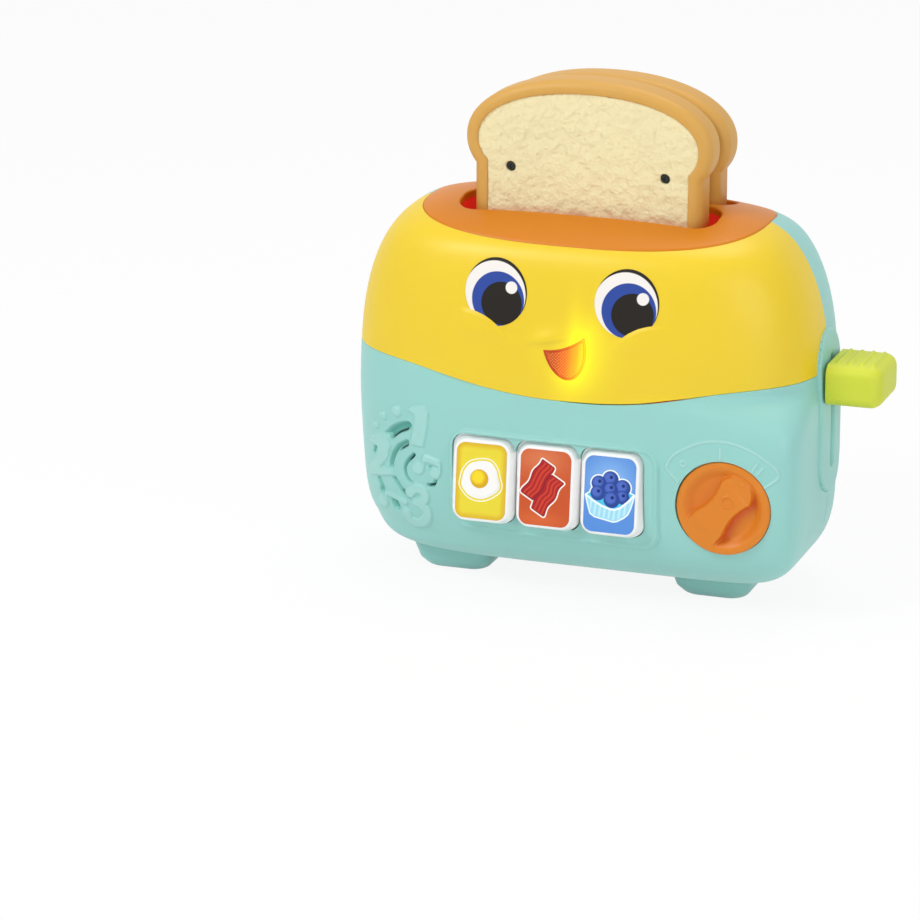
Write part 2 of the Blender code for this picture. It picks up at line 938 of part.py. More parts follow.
def hook_pivot_x():
    """The catch's pin lies under the middle of its arm when it holds the carriage."""
    plate = crossplate_start() + crossplate_thickness
    return plate + catch_tab_reach + catch_clearance + hook_thickness / 2


def rod_supports():
    """The post and the ear that hold the guide rod, both part of the rear shell."""
    within = body_form("rod_limit", wall / 2)
    post = rod("rod_post", "z", (rod_x, rod_y), rod_seat_radius, 0, rod_seat_height, sides=20)
    keep(post, within)
    low = (rod_x - rod_seat_radius, rod_y - rod_seat_radius, rod_top - ear_thickness)
    ear = block("rod_ear", low, (rod_x + rod_seat_radius, body_half_depth, rod_top))
    keep(ear, within)
    return post, ear


def rod_bore():
    """One bore for both supports. It ends inside the ear and inside the post."""
    start = rod_seat_height - rod_seat_depth - joint_gap
    end = rod_top - wall + joint_gap
    return rod("rod_bore", "z", (rod_x, rod_y), rod_radius + joint_gap, start, end, sides=16)


def bay_half_length():
    return cell_length / 2 + contact_gap


def bay_low():
    return cell_row_height - cell_pitch * (cell_count - 1) / 2 - cell_radius - joint_gap


def bay_high():
    return cell_row_height + cell_pitch * (cell_count - 1) / 2 + cell_radius + joint_gap


def door_outline(grow):
    """The battery door seen from behind. Its top reaches past the cells, to the screw."""
    low = bay_low()
    high = bay_high() + door_block
    half_width = bay_half_length() + battery_wall / 2 + grow
    return rounded_box((0, (low + high) / 2), half_width, (high - low) / 2 + grow, door_corner + grow)


def make_rear_shell(tools, material):
    """The rear half: the wells of the screws, the door's opening and the guide rod's supports."""
    shell = show(body_form("rear_shell", 0), material)
    fuse(shell, *foot_tools())
    cut(shell, tools["inner"])
    fuse(shell, *boss_tools(False), *rod_supports())
    keep(shell, tools["rear_half"])
    opening = prism("door_opening", door_outline(joint_gap), "y", cell_row_depth, body_half_depth + overrun)
    cut(shell, tools["trim_hole"], tools["plate_hole"], opening, rod_bore(), *screw_bores(False))
    return shell


def eye_centre(side):
    return side * eye_spacing / 2, eye_height


def eye_outline(side, grow):
    x, height = eye_centre(side)
    points = []
    steps = 28
    for i in range(steps):
        turn = math.tau * i / steps
        points.append((x + (eye_half_width + grow) * math.cos(turn),
                       height + (eye_half_height + grow) * math.sin(turn)))
    return points


def make_face_panel(tools, material):
    """The upper front, with the openings of the eyes and the mouth."""
    panel = show(body_form("face_panel", 0), material)
    cut(panel, tools["inner"])
    fuse(panel, *boss_tools(True))
    keep(panel, tools["front_half"], tools["above_seam"])
    cut(panel, tools["trim_hole"], tools["plate_hole"], *screw_bores(True))
    for side in (-1, 1):
        name = f"eye_opening_{'left' if side < 0 else 'right'}"
        cut(panel, prism(name, eye_outline(side, joint_gap), "y", -far_front(), -trim_half_depth / 2))
    cut(panel, prism("mouth_opening", mouth_outline(joint_gap), "y", -far_front(), -trim_half_depth / 2))
    return panel


def make_inset(name, outline, flange_outline, sink, thickness, material):
    """A piece that fills an opening of the panel and catches behind it with a flange."""
    piece = show(prism(name, flange_outline, "y", -far_front(), -trim_half_depth / 2), material)
    keep(piece, body_form(f"{name}_flange_limit", wall + joint_gap))
    plug = prism(f"{name}_plug", outline, "y", -far_front(), -trim_half_depth * plug_depth_share)
    keep(plug, body_form(f"{name}_front_limit", sink))
    fuse(piece, plug)
    cut(piece, body_form(f"{name}_back_limit", wall + joint_gap + thickness))
    return piece


def make_top_trim(tools, material):
    """The orange top with its two slots."""
    trim = show(body_form("top_trim", 0), material)
    keep(trim, tools["trim_core"])
    cut(trim, tools["inner"])
    for index, y in enumerate(slot_centres):
        outline = rounded_box((0, y), slot_half_length, slot_width / 2, slot_corner, 5)
        cut(trim, prism(f"slot_{index}", outline, "z", plate_high, crown_height + overrun))
    return trim


def make_track_plate(tools, material):
    """The plate round the lever's slot, with a flange behind the shells."""
    middle = (plate_low + plate_high) / 2
    half_height = (plate_high - plate_low) / 2
    grow = wall
    outline = rounded_box((0, middle), plate_half_width + grow, half_height + grow, plate_half_width, 6)
    plate = show(prism("lever_track_plate", outline, "x", rod_x, body_half_width + overrun), material)
    keep(plate, tools["inside"])
    face = tools["plate_core"]
    keep(face, body_form("plate_front_limit", -plate_rise))
    fuse(plate, face)
    cut(plate, body_form("plate_back_limit", wall + joint_gap + well_wall))
    slot = rounded_box((0, (lever_slot_low + lever_slot_high) / 2), lever_slot_half_width,
                       (lever_slot_high - lever_slot_low) / 2, lever_slot_half_width)
    cut(plate, prism("lever_slot", slot, "x", rod_x - overrun, body_half_width + lever_length))
    return plate


def make_toast_well(tools, material):
    """One moulding with both wells, open at the top, with slits for the carriage's tongues."""
    half_depth = slot_pitch / 2 + slot_width / 2 + well_wall
    outline = rounded_box((0, 0), slot_half_length + well_wall, half_depth, slot_corner + well_wall, 5)
    well = show(prism("toast_well", outline, "z", well_floor_height, crown_height), material)
    keep(well, tools["inside"])
    for index, y in enumerate(slot_centres):
        hollow = rounded_box((0, y), slot_half_length, slot_width / 2, slot_corner, 5)
        cut(well, prism(f"well_{index}", hollow, "z", well_floor_height + well_wall, crown_height + overrun))
        low = carriage_floor_height - carriage_floor - carriage_travel - crossplate_gap - rear_slice_drop
        high = carriage_floor_height + crossplate_gap
        start = slot_half_length - slot_corner
        end = slot_half_length + well_wall + overrun
        cut(well, block(f"slit_{index}", (start, y - well_slit_width / 2, low),
                        (end, y + well_slit_width / 2, high)))
    return well


def make_carriage(material):
    """The piece that carries both slices and slides on the rod. Its arm passes through the lever's slot."""
    low = carriage_floor_height - carriage_floor
    start = crossplate_start()
    end = start + crossplate_thickness
    outline = [(-crossplate_half_width, arm_low), (crossplate_half_width, arm_low)]
    outline += [(crossplate_half_width, carriage_floor_height),
                (-crossplate_half_width, carriage_floor_height)]
    carriage = prism("carriage", outline, "x", start, end, material)
    for index, y in enumerate(slot_centres):
        drop = rear_slice_drop * index
        half_length = slot_half_length - carriage_side_clearance
        half_width = slot_width / 2 - carriage_side_clearance
        tray = rounded_box((0, y), half_length, half_width, slot_corner - carriage_side_clearance, 3)
        fuse(carriage, prism(f"tray_{index}", tray, "z", low - drop, carriage_floor_height - drop))
        half_tongue = carriage_tongue_width / 2
        tongue_start = half_length - slot_corner
        corner = (start + crossplate_thickness / 2, y + half_tongue, carriage_floor_height - joint_gap - drop)
        fuse(carriage,
             block(f"tongue_{index}", (tongue_start, y - half_tongue, low + joint_gap - drop), corner))
    inner_end = start + crossplate_thickness / 2
    arm_end = body_half_width + plate_rise + joint_gap + arm_reach_in_knob
    fuse(carriage, block("arm", (inner_end, -arm_half_width, arm_low), (arm_end, arm_half_width, arm_high)))
    web = block("collar_web", (inner_end, rod_y - arm_half_width, arm_low),
                (rod_x, rod_y + arm_half_width, arm_high))
    fuse(carriage, web)
    centre = (rod_x, rod_y)
    fuse(carriage,
         rod("collar", "z", centre, collar_radius, arm_low - joint_gap, arm_low + collar_length, sides=24))
    cut(carriage, rod("collar_bore", "z", centre, rod_radius + joint_gap, 0, crown_height, sides=16))
    tab_low = (start, catch_y - catch_tab_width / 2, arm_low - joint_gap)
    tab_high = (end + catch_tab_reach, catch_y + catch_tab_width / 2, arm_low + catch_tab_height)
    return fuse(carriage, block("catch_tab", tab_low, tab_high))


def make_lever_knob(material):
    """The block the child presses, ribbed on top, with a socket for the arm."""
    start = body_half_width + plate_rise + joint_gap
    end = start + lever_length
    middle = (0, (lever_low + lever_high) / 2)
    half_height = (lever_high - lever_low) / 2
    steps = 4
    profile = [(start, lever_round / 4), (start + lever_round / 4, 0)]
    for i in range(steps + 1):
        turn = math.pi / 2 * i / steps
        profile.append((end - lever_round + lever_round * math.sin(turn), lever_round * (1 - math.cos(turn))))
    rings = []
    for x, inset in profile:
        outline = rounded_box(middle, lever_half_width - inset, half_height - inset, lever_round, 4)
        rings.append([(x, y, z) for y, z in outline])
    knob = loft("lever_knob", rings, material)
    for index in (-1, 0, 1):
        x = (start + end) / 2 + index * lever_rib_pitch
        centre = (x, lever_high + lever_rib_rise - lever_rib_radius)
        fuse(knob, rod(f"lever_rib_{index + 1}", "y", centre, lever_rib_radius, -lever_rib_half_length,
                       lever_rib_half_length, sides=16))
    low = (start - overrun, -arm_half_width - joint_gap, arm_low - joint_gap)
    high = (start + arm_reach_in_knob + joint_gap, arm_half_width + joint_gap, arm_high + joint_gap)
    return cut(knob, block("arm_socket", low, high))


def make_guide_rod(material):
    end = rod_top - wall
    start = rod_seat_height - rod_seat_depth
    return rod("guide_rod", "z", (rod_x, rod_y), rod_radius, start, end, material, 20)


def make_return_spring(material):
    """A wire coil round the rod, from the post's top to the carriage's collar."""
    start = rod_seat_height + joint_gap + spring_wire_radius
    end = arm_low - 2 * joint_gap - spring_wire_radius
    count = spring_turns * spring_points_each_turn
    rings = []
    sides = 4
    for i in range(count + 1):
        turn = math.tau * i / spring_points_each_turn
        height = start + (end - start) * i / count
        ring = []
        for j in range(sides):
            lean = math.tau * j / sides
            radius = spring_radius + spring_wire_radius * math.cos(lean)
            rise = spring_wire_radius * math.sin(lean)
            ring.append((radius * math.cos(turn), radius * math.sin(turn), height + rise))
        rings.append(ring)
    return loft("return_spring", rings, material, (rod_x, rod_y, 0))


def make_latch_hook(material):
    """The catch, standing clear of the carriage. Turned in, its nose covers the carriage's tab."""
    nose_low = arm_low - carriage_travel + catch_tab_height + catch_clearance
    nose_high = nose_low + hook_nose_height
    rise = nose_low - hook_pivot_height
    top = nose_high - hook_pivot_height
    half = hook_thickness / 2
    outline = []
    steps = 10
    for i in range(steps + 1):
        spread = math.tau - 2 * math.asin(half / hook_eye_radius)
        turn = math.pi / 2 + math.asin(half / hook_eye_radius) + spread * i / steps
        outline.append((hook_eye_radius * math.cos(turn), hook_eye_radius * math.sin(turn)))
    outline += [(half, top), (half - hook_thickness - hook_nose * hook_slope_share, top)]
    outline += [(-half - hook_nose, rise + hook_nose_height * hook_slope_share), (-half - hook_nose, rise),
                (-half, rise)]
    hook = prism("latch_hook", outline, "y", -hook_width / 2, hook_width / 2, material,
                 (hook_pivot_x(), catch_y, hook_pivot_height))
    bore = rod("hook_bore", "y", (0, 0), hook_pin_radius + joint_gap, -hook_width, hook_width, sides=16)
    bore.location = hook.location
    hook.rotation_euler = (0, hook_turn, 0)
    return cut(hook, bore)


def make_latch_pin(material):
    half_length = hook_width / 2 + hook_ear_gap + hook_ear_thickness
    centre = (hook_pivot_x(), hook_pivot_height)
    return rod("latch_pin", "y", centre, hook_pin_radius, catch_y - half_length, catch_y + half_length,
               material, 16)


def lean_shift(height):
    return math.tan(button_lean) * height


def make_button(name, x, material):
    """A drafted cap with a leaning face, a flange behind the shell and a plunger."""
    place = (x, -button_face_depth, button_height)
    rings = []
    half_base_width = button_base_width / 2
    half_base_height = button_base_height / 2
    stages = (
        (0, button_face_width / 2, button_face_height / 2, 1),
        (button_face_depth - button_waist_depth, half_base_width, half_base_height, 1),
        (button_face_depth - button_back_depth, half_base_width, half_base_height, 0),
    )
    for depth, half_width, half_height, lean in stages:
        outline = rounded_box((0, 0), half_width, half_height, button_corner, 3)
        rings.append([(p, depth + lean * lean_shift(q), q) for p, q in outline])
    cap = loft(name, rings, material, place)
    back = button_face_depth - button_back_depth
    flange = rounded_box((0, 0), half_base_width, half_base_height + button_flange_reach, button_corner, 3)
    fuse(cap, prism(f"{name}_flange", flange, "y", back - button_flange, back, place=place))
    hollow_half_width = button_face_width / 2 - button_wall
    hollow_half_height = button_face_height / 2 - button_wall
    hollow = rounded_box((0, 0), hollow_half_width, hollow_half_height, button_corner - button_wall, 3)
    rings = []
    for depth, lean in ((button_wall + label_thickness, 1), (back + overrun, 0)):
        rings.append([(p, depth + lean * lean_shift(q), q) for p, q in hollow])
    cut(cap, loft(f"{name}_hollow", rings, place=place))
    post_end = back + button_post_reach
    post = rod(f"{name}_post", "y", (0, 0), button_post_radius, button_wall, post_end, sides=20)
    post.location = place
    fuse(cap, post)
    pocket = rounded_box((0, 0), label_width / 2 + joint_gap / 2, label_height / 2 + joint_gap / 2,
                         label_corner, 3)
    rings = []
    for depth in (-overrun, label_thickness + joint_gap / 2 - label_rise):
        rings.append([(p, depth + lean_shift(q), q) for p, q in pocket])
    return cut(cap, loft(f"{name}_label_pocket", rings, place=place))


def make_label(name, x, material):
    """A thin label set in the cap's face."""
    outline = rounded_box((0, 0), label_width / 2, label_height / 2, label_corner, 3)
    rings = []
    for depth in (-label_rise, label_thickness - label_rise):
        rings.append([(p, depth + lean_shift(q), q) for p, q in outline])
    return loft(name, rings, material, (x, -button_face_depth, button_height))


def make_dome_pad(material):
    """A rubber sheet with one dome behind each button."""
    front, _ = button_board_planes()
    back = front - joint_gap
    half_width = button_pitch + dome_radius + dome_sheet_margin
    outline = rounded_box((button_row_x, button_height), half_width, dome_radius + dome_sheet_margin,
                          dome_radius, 3)
    pad = prism("button_dome_pad", outline, "y", back - dome_sheet, back, material)
    for index in (-1, 0, 1):
        place = (button_row_x + index * button_pitch, back - dome_sheet - dome_height, button_height)
        profile = [(dome_top_radius, 0), (dome_radius, dome_height + dome_sheet / 2)]
        fuse(pad, turned(f"dome_{index + 1}", profile, "y", place, sides=20))
    return pad


def make_button_board(material):
    front, back = button_board_planes()
    outline = rounded_box((button_row_x, button_height), button_board_width / 2, button_board_height / 2,
                          board_post_radius, 2)
    return prism("button_board", outline, "y", front, back, material)


def make_mode_knob(material):
    """A dished dial with a waisted grip that points to the mark it is set to."""
    place = (knob_x, -knob_face_depth, knob_height)
    profile = [(knob_radius - knob_edge, 0), (knob_radius, knob_edge), (knob_radius, knob_thickness)]
    knob = turned("mode_knob", profile, "y", place, material, 48)
    dish_radius = knob_radius - knob_rim
    dish = turned("knob_dish", [(dish_radius, -overrun), (dish_radius - knob_edge, knob_dish)], "y", place,
                  sides=40)
    cut(knob, dish)
    half_length = dish_radius + knob_rim / 2
    outline = []
    steps = 6
    for end in (1, -1):
        for i in range(steps + 1):
            share = 1 - 2 * i / steps
            width = knob_grip_waist + (knob_grip_width - knob_grip_waist) * abs(share)
            outline.append((end * half_length * share, end * width / 2))
    turned_outline = []
    for p, q in outline:
        x = p * math.cos(knob_grip_angle) - q * math.sin(knob_grip_angle)
        z = p * math.sin(knob_grip_angle) + q * math.cos(knob_grip_angle)
        turned_outline.append((x, z))
    grip = prism("knob_grip", turned_outline, "y", knob_dish - knob_grip_rise, knob_dish + knob_edge,
                 place=place)
    limit_profile = [(dish_radius, -knob_thickness), (dish_radius, knob_thickness)]
    fuse(knob, keep(grip, turned("grip_limit", limit_profile, "y", place, sides=40)))
    bore = knob_shaft_radius + joint_gap
    socket_profile = [(bore, knob_thickness / 2), (bore, knob_thickness + overrun)]
    return cut(knob, turned("knob_socket", socket_profile, "y", place, sides=20))


def switch_front():
    return -(knob_face_depth - knob_thickness - joint_gap) + knob_seat_wall + joint_gap


def make_switch_shaft(material):
    start = -knob_face_depth + knob_thickness / 2 + joint_gap
    end = switch_front() + switch_socket
    return turned("switch_shaft", [(knob_shaft_radius, start), (knob_shaft_radius, end)], "y",
                  (knob_x, 0, knob_height), material, 20)


def make_rotary_switch(material):
    outline = rounded_box((knob_x, knob_height), switch_size / 2, switch_size / 2, board_post_radius, 2)
    switch = prism("rotary_switch", outline, "y", switch_front(), switch_front() + switch_depth, material)
    radius = knob_shaft_radius + joint_gap
    end = switch_front() + switch_socket + joint_gap
    return cut(switch, rod("switch_bore", "y", (knob_x, knob_height), radius, switch_front() - overrun, end,
                           sides=20))


def make_speaker(frame_material, cone_material):
    """A small loudspeaker: a frame with its magnet, and a paper cone."""
    place = (speaker_x, -speaker_front, speaker_height)
    basket = speaker_radius - speaker_rim
    depth = speaker_basket_depth
    profile = [(speaker_radius, 0), (speaker_radius, speaker_rim_depth), (basket, speaker_rim_depth)]
    profile += [(speaker_magnet_radius + speaker_rim, depth), (speaker_magnet_radius, depth)]
    profile += [(speaker_magnet_radius, depth + speaker_magnet_depth)]
    frame = turned("speaker_frame", profile, "y", place, frame_material, 32)
    inner = basket - speaker_rim / 2
    room = [(inner, -overrun), (inner, speaker_rim_depth / 2),
            (cone_cap_radius, depth - speaker_rim_depth / 2)]
    cut(frame, turned("cone_room", room, "y", place, sides=32))
    outer = inner - joint_gap
    fall = depth - speaker_rim_depth - cone_thickness
    cone = turned("speaker_cone", [(outer, 0), (outer, cone_thickness), (cone_cap_radius, fall)], "y", place,
                  cone_material, 32)
    hollow = [(outer - cone_thickness, -overrun), (outer - cone_thickness, 0)]
    hollow += [(cone_cap_radius - cone_thickness, fall - 2 * cone_thickness)]
    cut(cone, turned("cone_hollow", hollow, "y", place, sides=32))
    return frame, cone


def lamp_centre():
    return mouth_x + mouth_drop_shift / 2, mouth_height - mouth_drop / 2


def make_lamp(housing_material, board_material, lamp_material):
    """A housing behind the mouth's lens, with the lamp and its board."""
    centre = lamp_centre()
    back = -holder_back
    housing = show(rod("lamp_housing", "y", centre, holder_radius, -body_half_depth, back, sides=28),
                   housing_material)
    keep(housing, body_form("lamp_limit", wall + 2 * joint_gap + lens_thickness))
    room = holder_radius - holder_wall
    cut(housing, rod("lamp_room", "y", centre, room, -body_half_depth, back - lamp_clearance, sides=28))
    hole = lamp_radius + lamp_rim + joint_gap
    cut(housing, rod("lamp_hole", "y", centre, hole, -body_half_depth, back + overrun, sides=20))
    board_front = back + joint_gap
    outline = rounded_box(centre, holder_radius, holder_radius, lamp_radius, 2)
    board = prism("lamp_board", outline, "y", board_front, board_front + board_thickness, board_material)
    base = board_front - joint_gap
    place = (centre[0], base, centre[1])
    profile = [(lamp_radius * lamp_tip_share, -lamp_length)]
    profile += [(lamp_radius * lamp_shoulder_share, -lamp_length + lamp_radius * lamp_shoulder_drop_share)]
    profile += [(lamp_radius, -lamp_length + lamp_radius), (lamp_radius, -lamp_flange)]
    profile += [(lamp_radius + lamp_rim, -lamp_flange), (lamp_radius + lamp_rim, 0)]
    return housing, board, turned("mouth_lamp", profile, "y", place, lamp_material, 20)


def cell_heights():
    return [cell_row_height + cell_pitch * (i - (cell_count - 1) / 2) for i in range(cell_count)]


def make_battery_box(tools, material):
    """A bay open towards the door, a pillar for the door's screw and pegs for the main board."""
    half_length = bay_half_length() + battery_wall
    low = (-half_length, battery_box_front, bay_low() - battery_wall)
    box = show(block("battery_box", low, (half_length, body_half_depth, bay_high() + battery_wall)), material)
    pillar = block("door_pillar", (-door_block / 2, battery_box_front, bay_high()),
                   (door_block / 2, body_half_depth, bay_high() + door_block))
    fuse(box, pillar)
    keep(box, tools["inside"])
    bay = block("bay", (-bay_half_length(), battery_box_front + battery_wall, bay_low()),
                (bay_half_length(), body_half_depth + overrun, bay_high()))
    cut(box, bay)
    for side in (-1, 1):
        for rise in (-1, 1):
            centre = (side * (main_board_width / 2 - board_post_inset),
                      cell_row_height + rise * (main_board_height / 2 - board_post_inset))
            start = battery_box_front - main_board_standoff
            fuse(box, rod(f"peg_{side + 1}{rise + 1}", "y", centre, board_post_radius, start,
                          battery_box_front + battery_wall / 2, sides=16))
    depth = body_half_depth - wall - door_block
    bore = rod("door_screw_bore", "y", (0, door_screw_height()), screw_radius + joint_gap, depth - joint_gap,
               body_half_depth, sides=16)
    return cut(box, bore)


def door_screw_height():
    return bay_high() + door_block / 2


def make_main_board(material):
    back = battery_box_front - main_board_standoff - joint_gap
    outline = rounded_box((0, cell_row_height), main_board_width / 2, main_board_height / 2,
                          board_post_radius, 2)
    return prism("main_board", outline, "y", back - board_thickness, back, material)


def make_cells(material):
    """Round cells, each turned end for end against its neighbour."""
    half_length = cell_length / 2
    for index, height in enumerate(cell_heights()):
        way = 1 if index % 2 else -1
        profile = [(cell_radius, -way * half_length), (cell_radius, way * (half_length - cell_nub))]
        profile += [(cell_nub_radius, way * (half_length - cell_nub)), (cell_nub_radius, way * half_length)]
        turned(f"battery_{index + 1}", profile, "x", (0, cell_row_depth, height), material, 24)


def make_contacts(material):
    """Spring plates at the ends of the cells: one joins two cells, the other serves one."""
    heights = cell_heights()
    groups = (("left", -1, (0,)), ("left", -1, (1, 2)), ("right", 1, (0, 1)), ("right", 1, (2,)))
    for side_name, side, members in groups:
        kind = "pair" if len(members) > 1 else "single"
        outer = side * (bay_half_length() - joint_gap)
        inner = outer - side * contact_thickness
        low = heights[members[0]] - contact_half_width
        high = heights[members[-1]] + contact_half_width
        start, end = min(outer, inner), max(outer, inner)
        corner = (end, cell_row_depth + contact_half_width, high)
        plate = block(f"contact_{side_name}_{kind}", (start, cell_row_depth - contact_half_width, low),
                      corner, material)
        for member in members:
            tip = side * (cell_length / 2 + joint_gap)
            place = (0, cell_row_depth, heights[member])
            profile = [(contact_bump_radius, outer - side * contact_thickness / 2),
                       (contact_bump_radius / 2, tip)]
            fuse(plate, turned(f"bump_{side_name}_{kind}_{member}", profile, "x", place, sides=16))


def make_battery_door(tools, material):
    """The door in the rear shell, with a countersunk place for its screw."""
    door = show(body_form("battery_door", 0), material)
    keep(door, prism("door_core", door_outline(0), "y", cell_row_depth, body_half_depth + overrun))
    cut(door, tools["inner"])
    centre = (0, door_screw_height())
    far = body_half_depth + overrun
    cut(door, rod("door_hole", "y", centre, screw_radius + joint_gap, cell_row_depth, far, sides=16))
    head = screw_head_radius + joint_gap
    return cut(door, rod("door_sink", "y", centre, head, body_half_depth - wall / 2, far, sides=20))


def make_screw(name, place, head_radius, head, radius, length, towards, material):
    """A pan head screw along Y. Its head's underside is at the place."""
    profile = [(radius, towards * length), (radius, 0), (head_radius, 0)]
    profile += [(head_radius, -towards * head * screw_side_share)]
    profile += [(head_radius * screw_crown_share, -towards * head)]
    screw = turned(name, profile, "y", place, material, 14)
    half_slot = radius * screw_blade_share
    half_blade = head_radius * screw_recess_share
    for index, (across, along) in enumerate(((half_blade, half_slot), (half_slot, half_blade))):
        end = -towards * (head + overrun)
        start = -towards * head / 2
        low = (-across, min(start, end), -along)
        recess = block(f"{name}_recess_{index}", low, (across, max(start, end), along))
        recess.location = place
        cut(screw, recess)
    return screw


def make_shell_screws(material):
    for x, height in screw_places():
        name = f"shell_screw_{'left' if x < 0 else 'right'}_{'low' if height < body_half_width / 2 else 'high'}"
        place = (x, boss_end_wall + joint_gap, height)
        make_screw(name, place, screw_head_radius, screw_head, screw_radius, screw_length, -1, material)
    place = (0, body_half_depth - wall / 2 + joint_gap, door_screw_height())
    make_screw("door_screw", place, screw_head_radius, wall / 2, screw_radius, door_block, -1, material)


def make_crust(name, place, material):
    """A rounded frame with a ledge on which both crumb plates rest."""
    rings = []
    half = slice_thickness / 2
    steps = 4
    for side in (-1, 1):
        turns = range(steps + 1) if side < 0 else reversed(range(steps + 1))
        for i in turns:
            turn = math.pi / 2 * i / steps
            depth = side * (half - slice_round + slice_round * math.cos(turn))
            inset = slice_round * (1 - math.sin(turn))
            rings.append([(p, depth, q) for p, q in toast_outline(inset)])
    crust = loft(f"{name}_crust", rings, material, place)
    for side, end in ((-1, "front"), (1, "back")):
        floor = side * (half - crumb_recess - crumb_thickness - joint_gap)
        start, finish = sorted((side * (half + overrun), floor))
        cut(crust, prism(f"{name}_{end}_pocket", toast_outline(crust_rim), "y", start, finish, place=place))
    hollow = toast_outline(crust_rim + crust_ledge)
    return cut(crust, prism(f"{name}_hollow", hollow, "y", -half, half, place=place))


def make_slice(name, y, drop, crust_material, crumb_material, steel):
    """One slice: the crust, a crumb plate in each face, and two screws into the rear plate's pillars."""
    place = (0, y, -drop)
    make_crust(name, place, crust_material)
    half = slice_thickness / 2
    face = half - crumb_recess
    back = face - crumb_thickness
    outline = toast_outline(crust_rim + joint_gap)
    front = prism(f"{name}_crumb_front", outline, "y", -face, -back, crumb_material, place)
    rear = prism(f"{name}_crumb_back", outline, "y", back, face, crumb_material, place)
    bore_radius = small_screw_radius + joint_gap
    for way, end in ((-1, "left"), (1, "right")):
        centre = (slice_offset + way * slice_screw_x, slice_screw_height)
        seat = -face + slice_screw_depth
        sink = rod(f"{name}_sink_{end}", "y", centre, slice_screw_hole, -half - overrun, seat, sides=20)
        hole = rod(f"{name}_hole_{end}", "y", centre, bore_radius, -half - overrun, overrun, sides=16)
        pillar = rod(f"{name}_pillar_{end}", "y", centre, slice_boss_radius, -back + joint_gap,
                     back + joint_gap, sides=20)
        for tool in (sink, hole, pillar):
            tool.location = place
        cut(front, sink, hole)
        fuse(rear, pillar)
        cut(rear, hole)
        spot = (centre[0], y + seat - joint_gap, slice_screw_height - drop)
        make_screw(f"{name}_screw_{end}", spot, small_screw_head_radius, small_screw_head, small_screw_radius,
                   small_screw_length, 1, steel)


def build():
    materials = make_materials()
    tools = make_shared_tools()
    make_front_shell(tools, materials["turquoise"])
    make_rear_shell(tools, materials["turquoise"])
    make_face_panel(tools, materials["yellow"])
    make_top_trim(tools, materials["orange"])
    make_track_plate(tools, materials["turquoise"])
    make_toast_well(tools, materials["red"])
    flange = button_flange_reach
    for side, end in ((-1, "left"), (1, "right")):
        make_inset(f"{end}_eye", eye_outline(side, 0), eye_outline(side, flange), eye_sink, eye_thickness,
                   materials["eye"])
    make_inset("mouth_lens", mouth_outline(0), mouth_outline(flange), lens_sink, lens_thickness,
               materials["amber"])
    make_lamp(materials["white"], materials["board"], materials["amber"])
    labels = (("left", "label_yellow"), ("middle", "label_orange"), ("right", "label_blue"))
    for index, (end, colour) in enumerate(labels):
        x = button_row_x + (index - 1) * button_pitch
        make_button(f"{end}_button", x, materials["white"])
        make_label(f"{end}_label", x, materials[colour])
    make_dome_pad(materials["rubber"])
    make_button_board(materials["board"])
    make_mode_knob(materials["orange"])
    make_switch_shaft(materials["white"])
    make_rotary_switch(materials["grey"])
    make_speaker(materials["grey"], materials["paper"])
    make_battery_box(tools, materials["grey"])
    make_main_board(materials["board"])
    make_cells(materials["cell"])
    make_contacts(materials["steel"])
    make_battery_door(tools, materials["turquoise"])
    make_shell_screws(materials["steel"])
    make_carriage(materials["red"])
    make_lever_knob(materials["lime"])
    make_guide_rod(materials["steel"])
    make_return_spring(materials["steel"])
    make_latch_hook(materials["white"])
    make_latch_pin(materials["steel"])
    for y, end, drop in zip(slot_centres, ("front", "rear"), (0, rear_slice_drop)):
        make_slice(f"{end}_slice", y, drop, materials["crust"], materials["crumb"], materials["steel"])


clear_scene()
stand = make_stand()
build()
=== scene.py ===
"""The looks of a pretend toaster for a young child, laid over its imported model.

Shapes are worked out in millimetres, in the toaster's own frame: x to the right, y to the back, z up.
"""

import math

import bpy
import numpy as np
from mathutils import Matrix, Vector


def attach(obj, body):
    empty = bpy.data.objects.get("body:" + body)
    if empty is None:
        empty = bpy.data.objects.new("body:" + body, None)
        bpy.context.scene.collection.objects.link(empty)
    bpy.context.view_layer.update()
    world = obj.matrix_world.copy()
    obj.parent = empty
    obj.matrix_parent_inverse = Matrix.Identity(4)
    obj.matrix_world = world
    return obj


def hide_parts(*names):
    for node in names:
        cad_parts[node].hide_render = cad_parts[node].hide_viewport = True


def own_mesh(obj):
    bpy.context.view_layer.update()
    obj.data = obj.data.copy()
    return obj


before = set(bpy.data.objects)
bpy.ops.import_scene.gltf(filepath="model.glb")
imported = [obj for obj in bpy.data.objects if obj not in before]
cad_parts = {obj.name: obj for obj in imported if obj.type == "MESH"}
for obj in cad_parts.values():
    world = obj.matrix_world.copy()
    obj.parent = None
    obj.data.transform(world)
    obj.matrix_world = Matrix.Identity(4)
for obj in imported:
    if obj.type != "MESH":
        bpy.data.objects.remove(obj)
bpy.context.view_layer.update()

millimetre = 0.001
# The toaster's own middle, seen from the frame's origin
stand = np.array([-13.878, 2.8966, 0.0])

# Body form
body_half_width = 109.84
body_half_depth = 58.6
widest_height = 67.6
shoulder_rise = 121.7
base_drop = 58.8
plan_power = 3.02
corner_power = 9.0
corner_low = (0.0, 18.0)
corner_high = (80.0, 105.0)
base_power = 1.6
base_left = (9.0, 26.0)
thinning = 0.53
thin_left = (36.0, 92.0)
width_power_above = 3.55
width_power_below = 4.95
depth_power_above = 4.0
depth_power_below = 3.18
crown_height = 180.6
crown_front_drop = 12.4
crown_end_drop = 4.4
crown_power = 1.86
crown_end_power = 2.8
crown_blend = 34
body_middle = np.array([0.0, 0.0, widest_height])

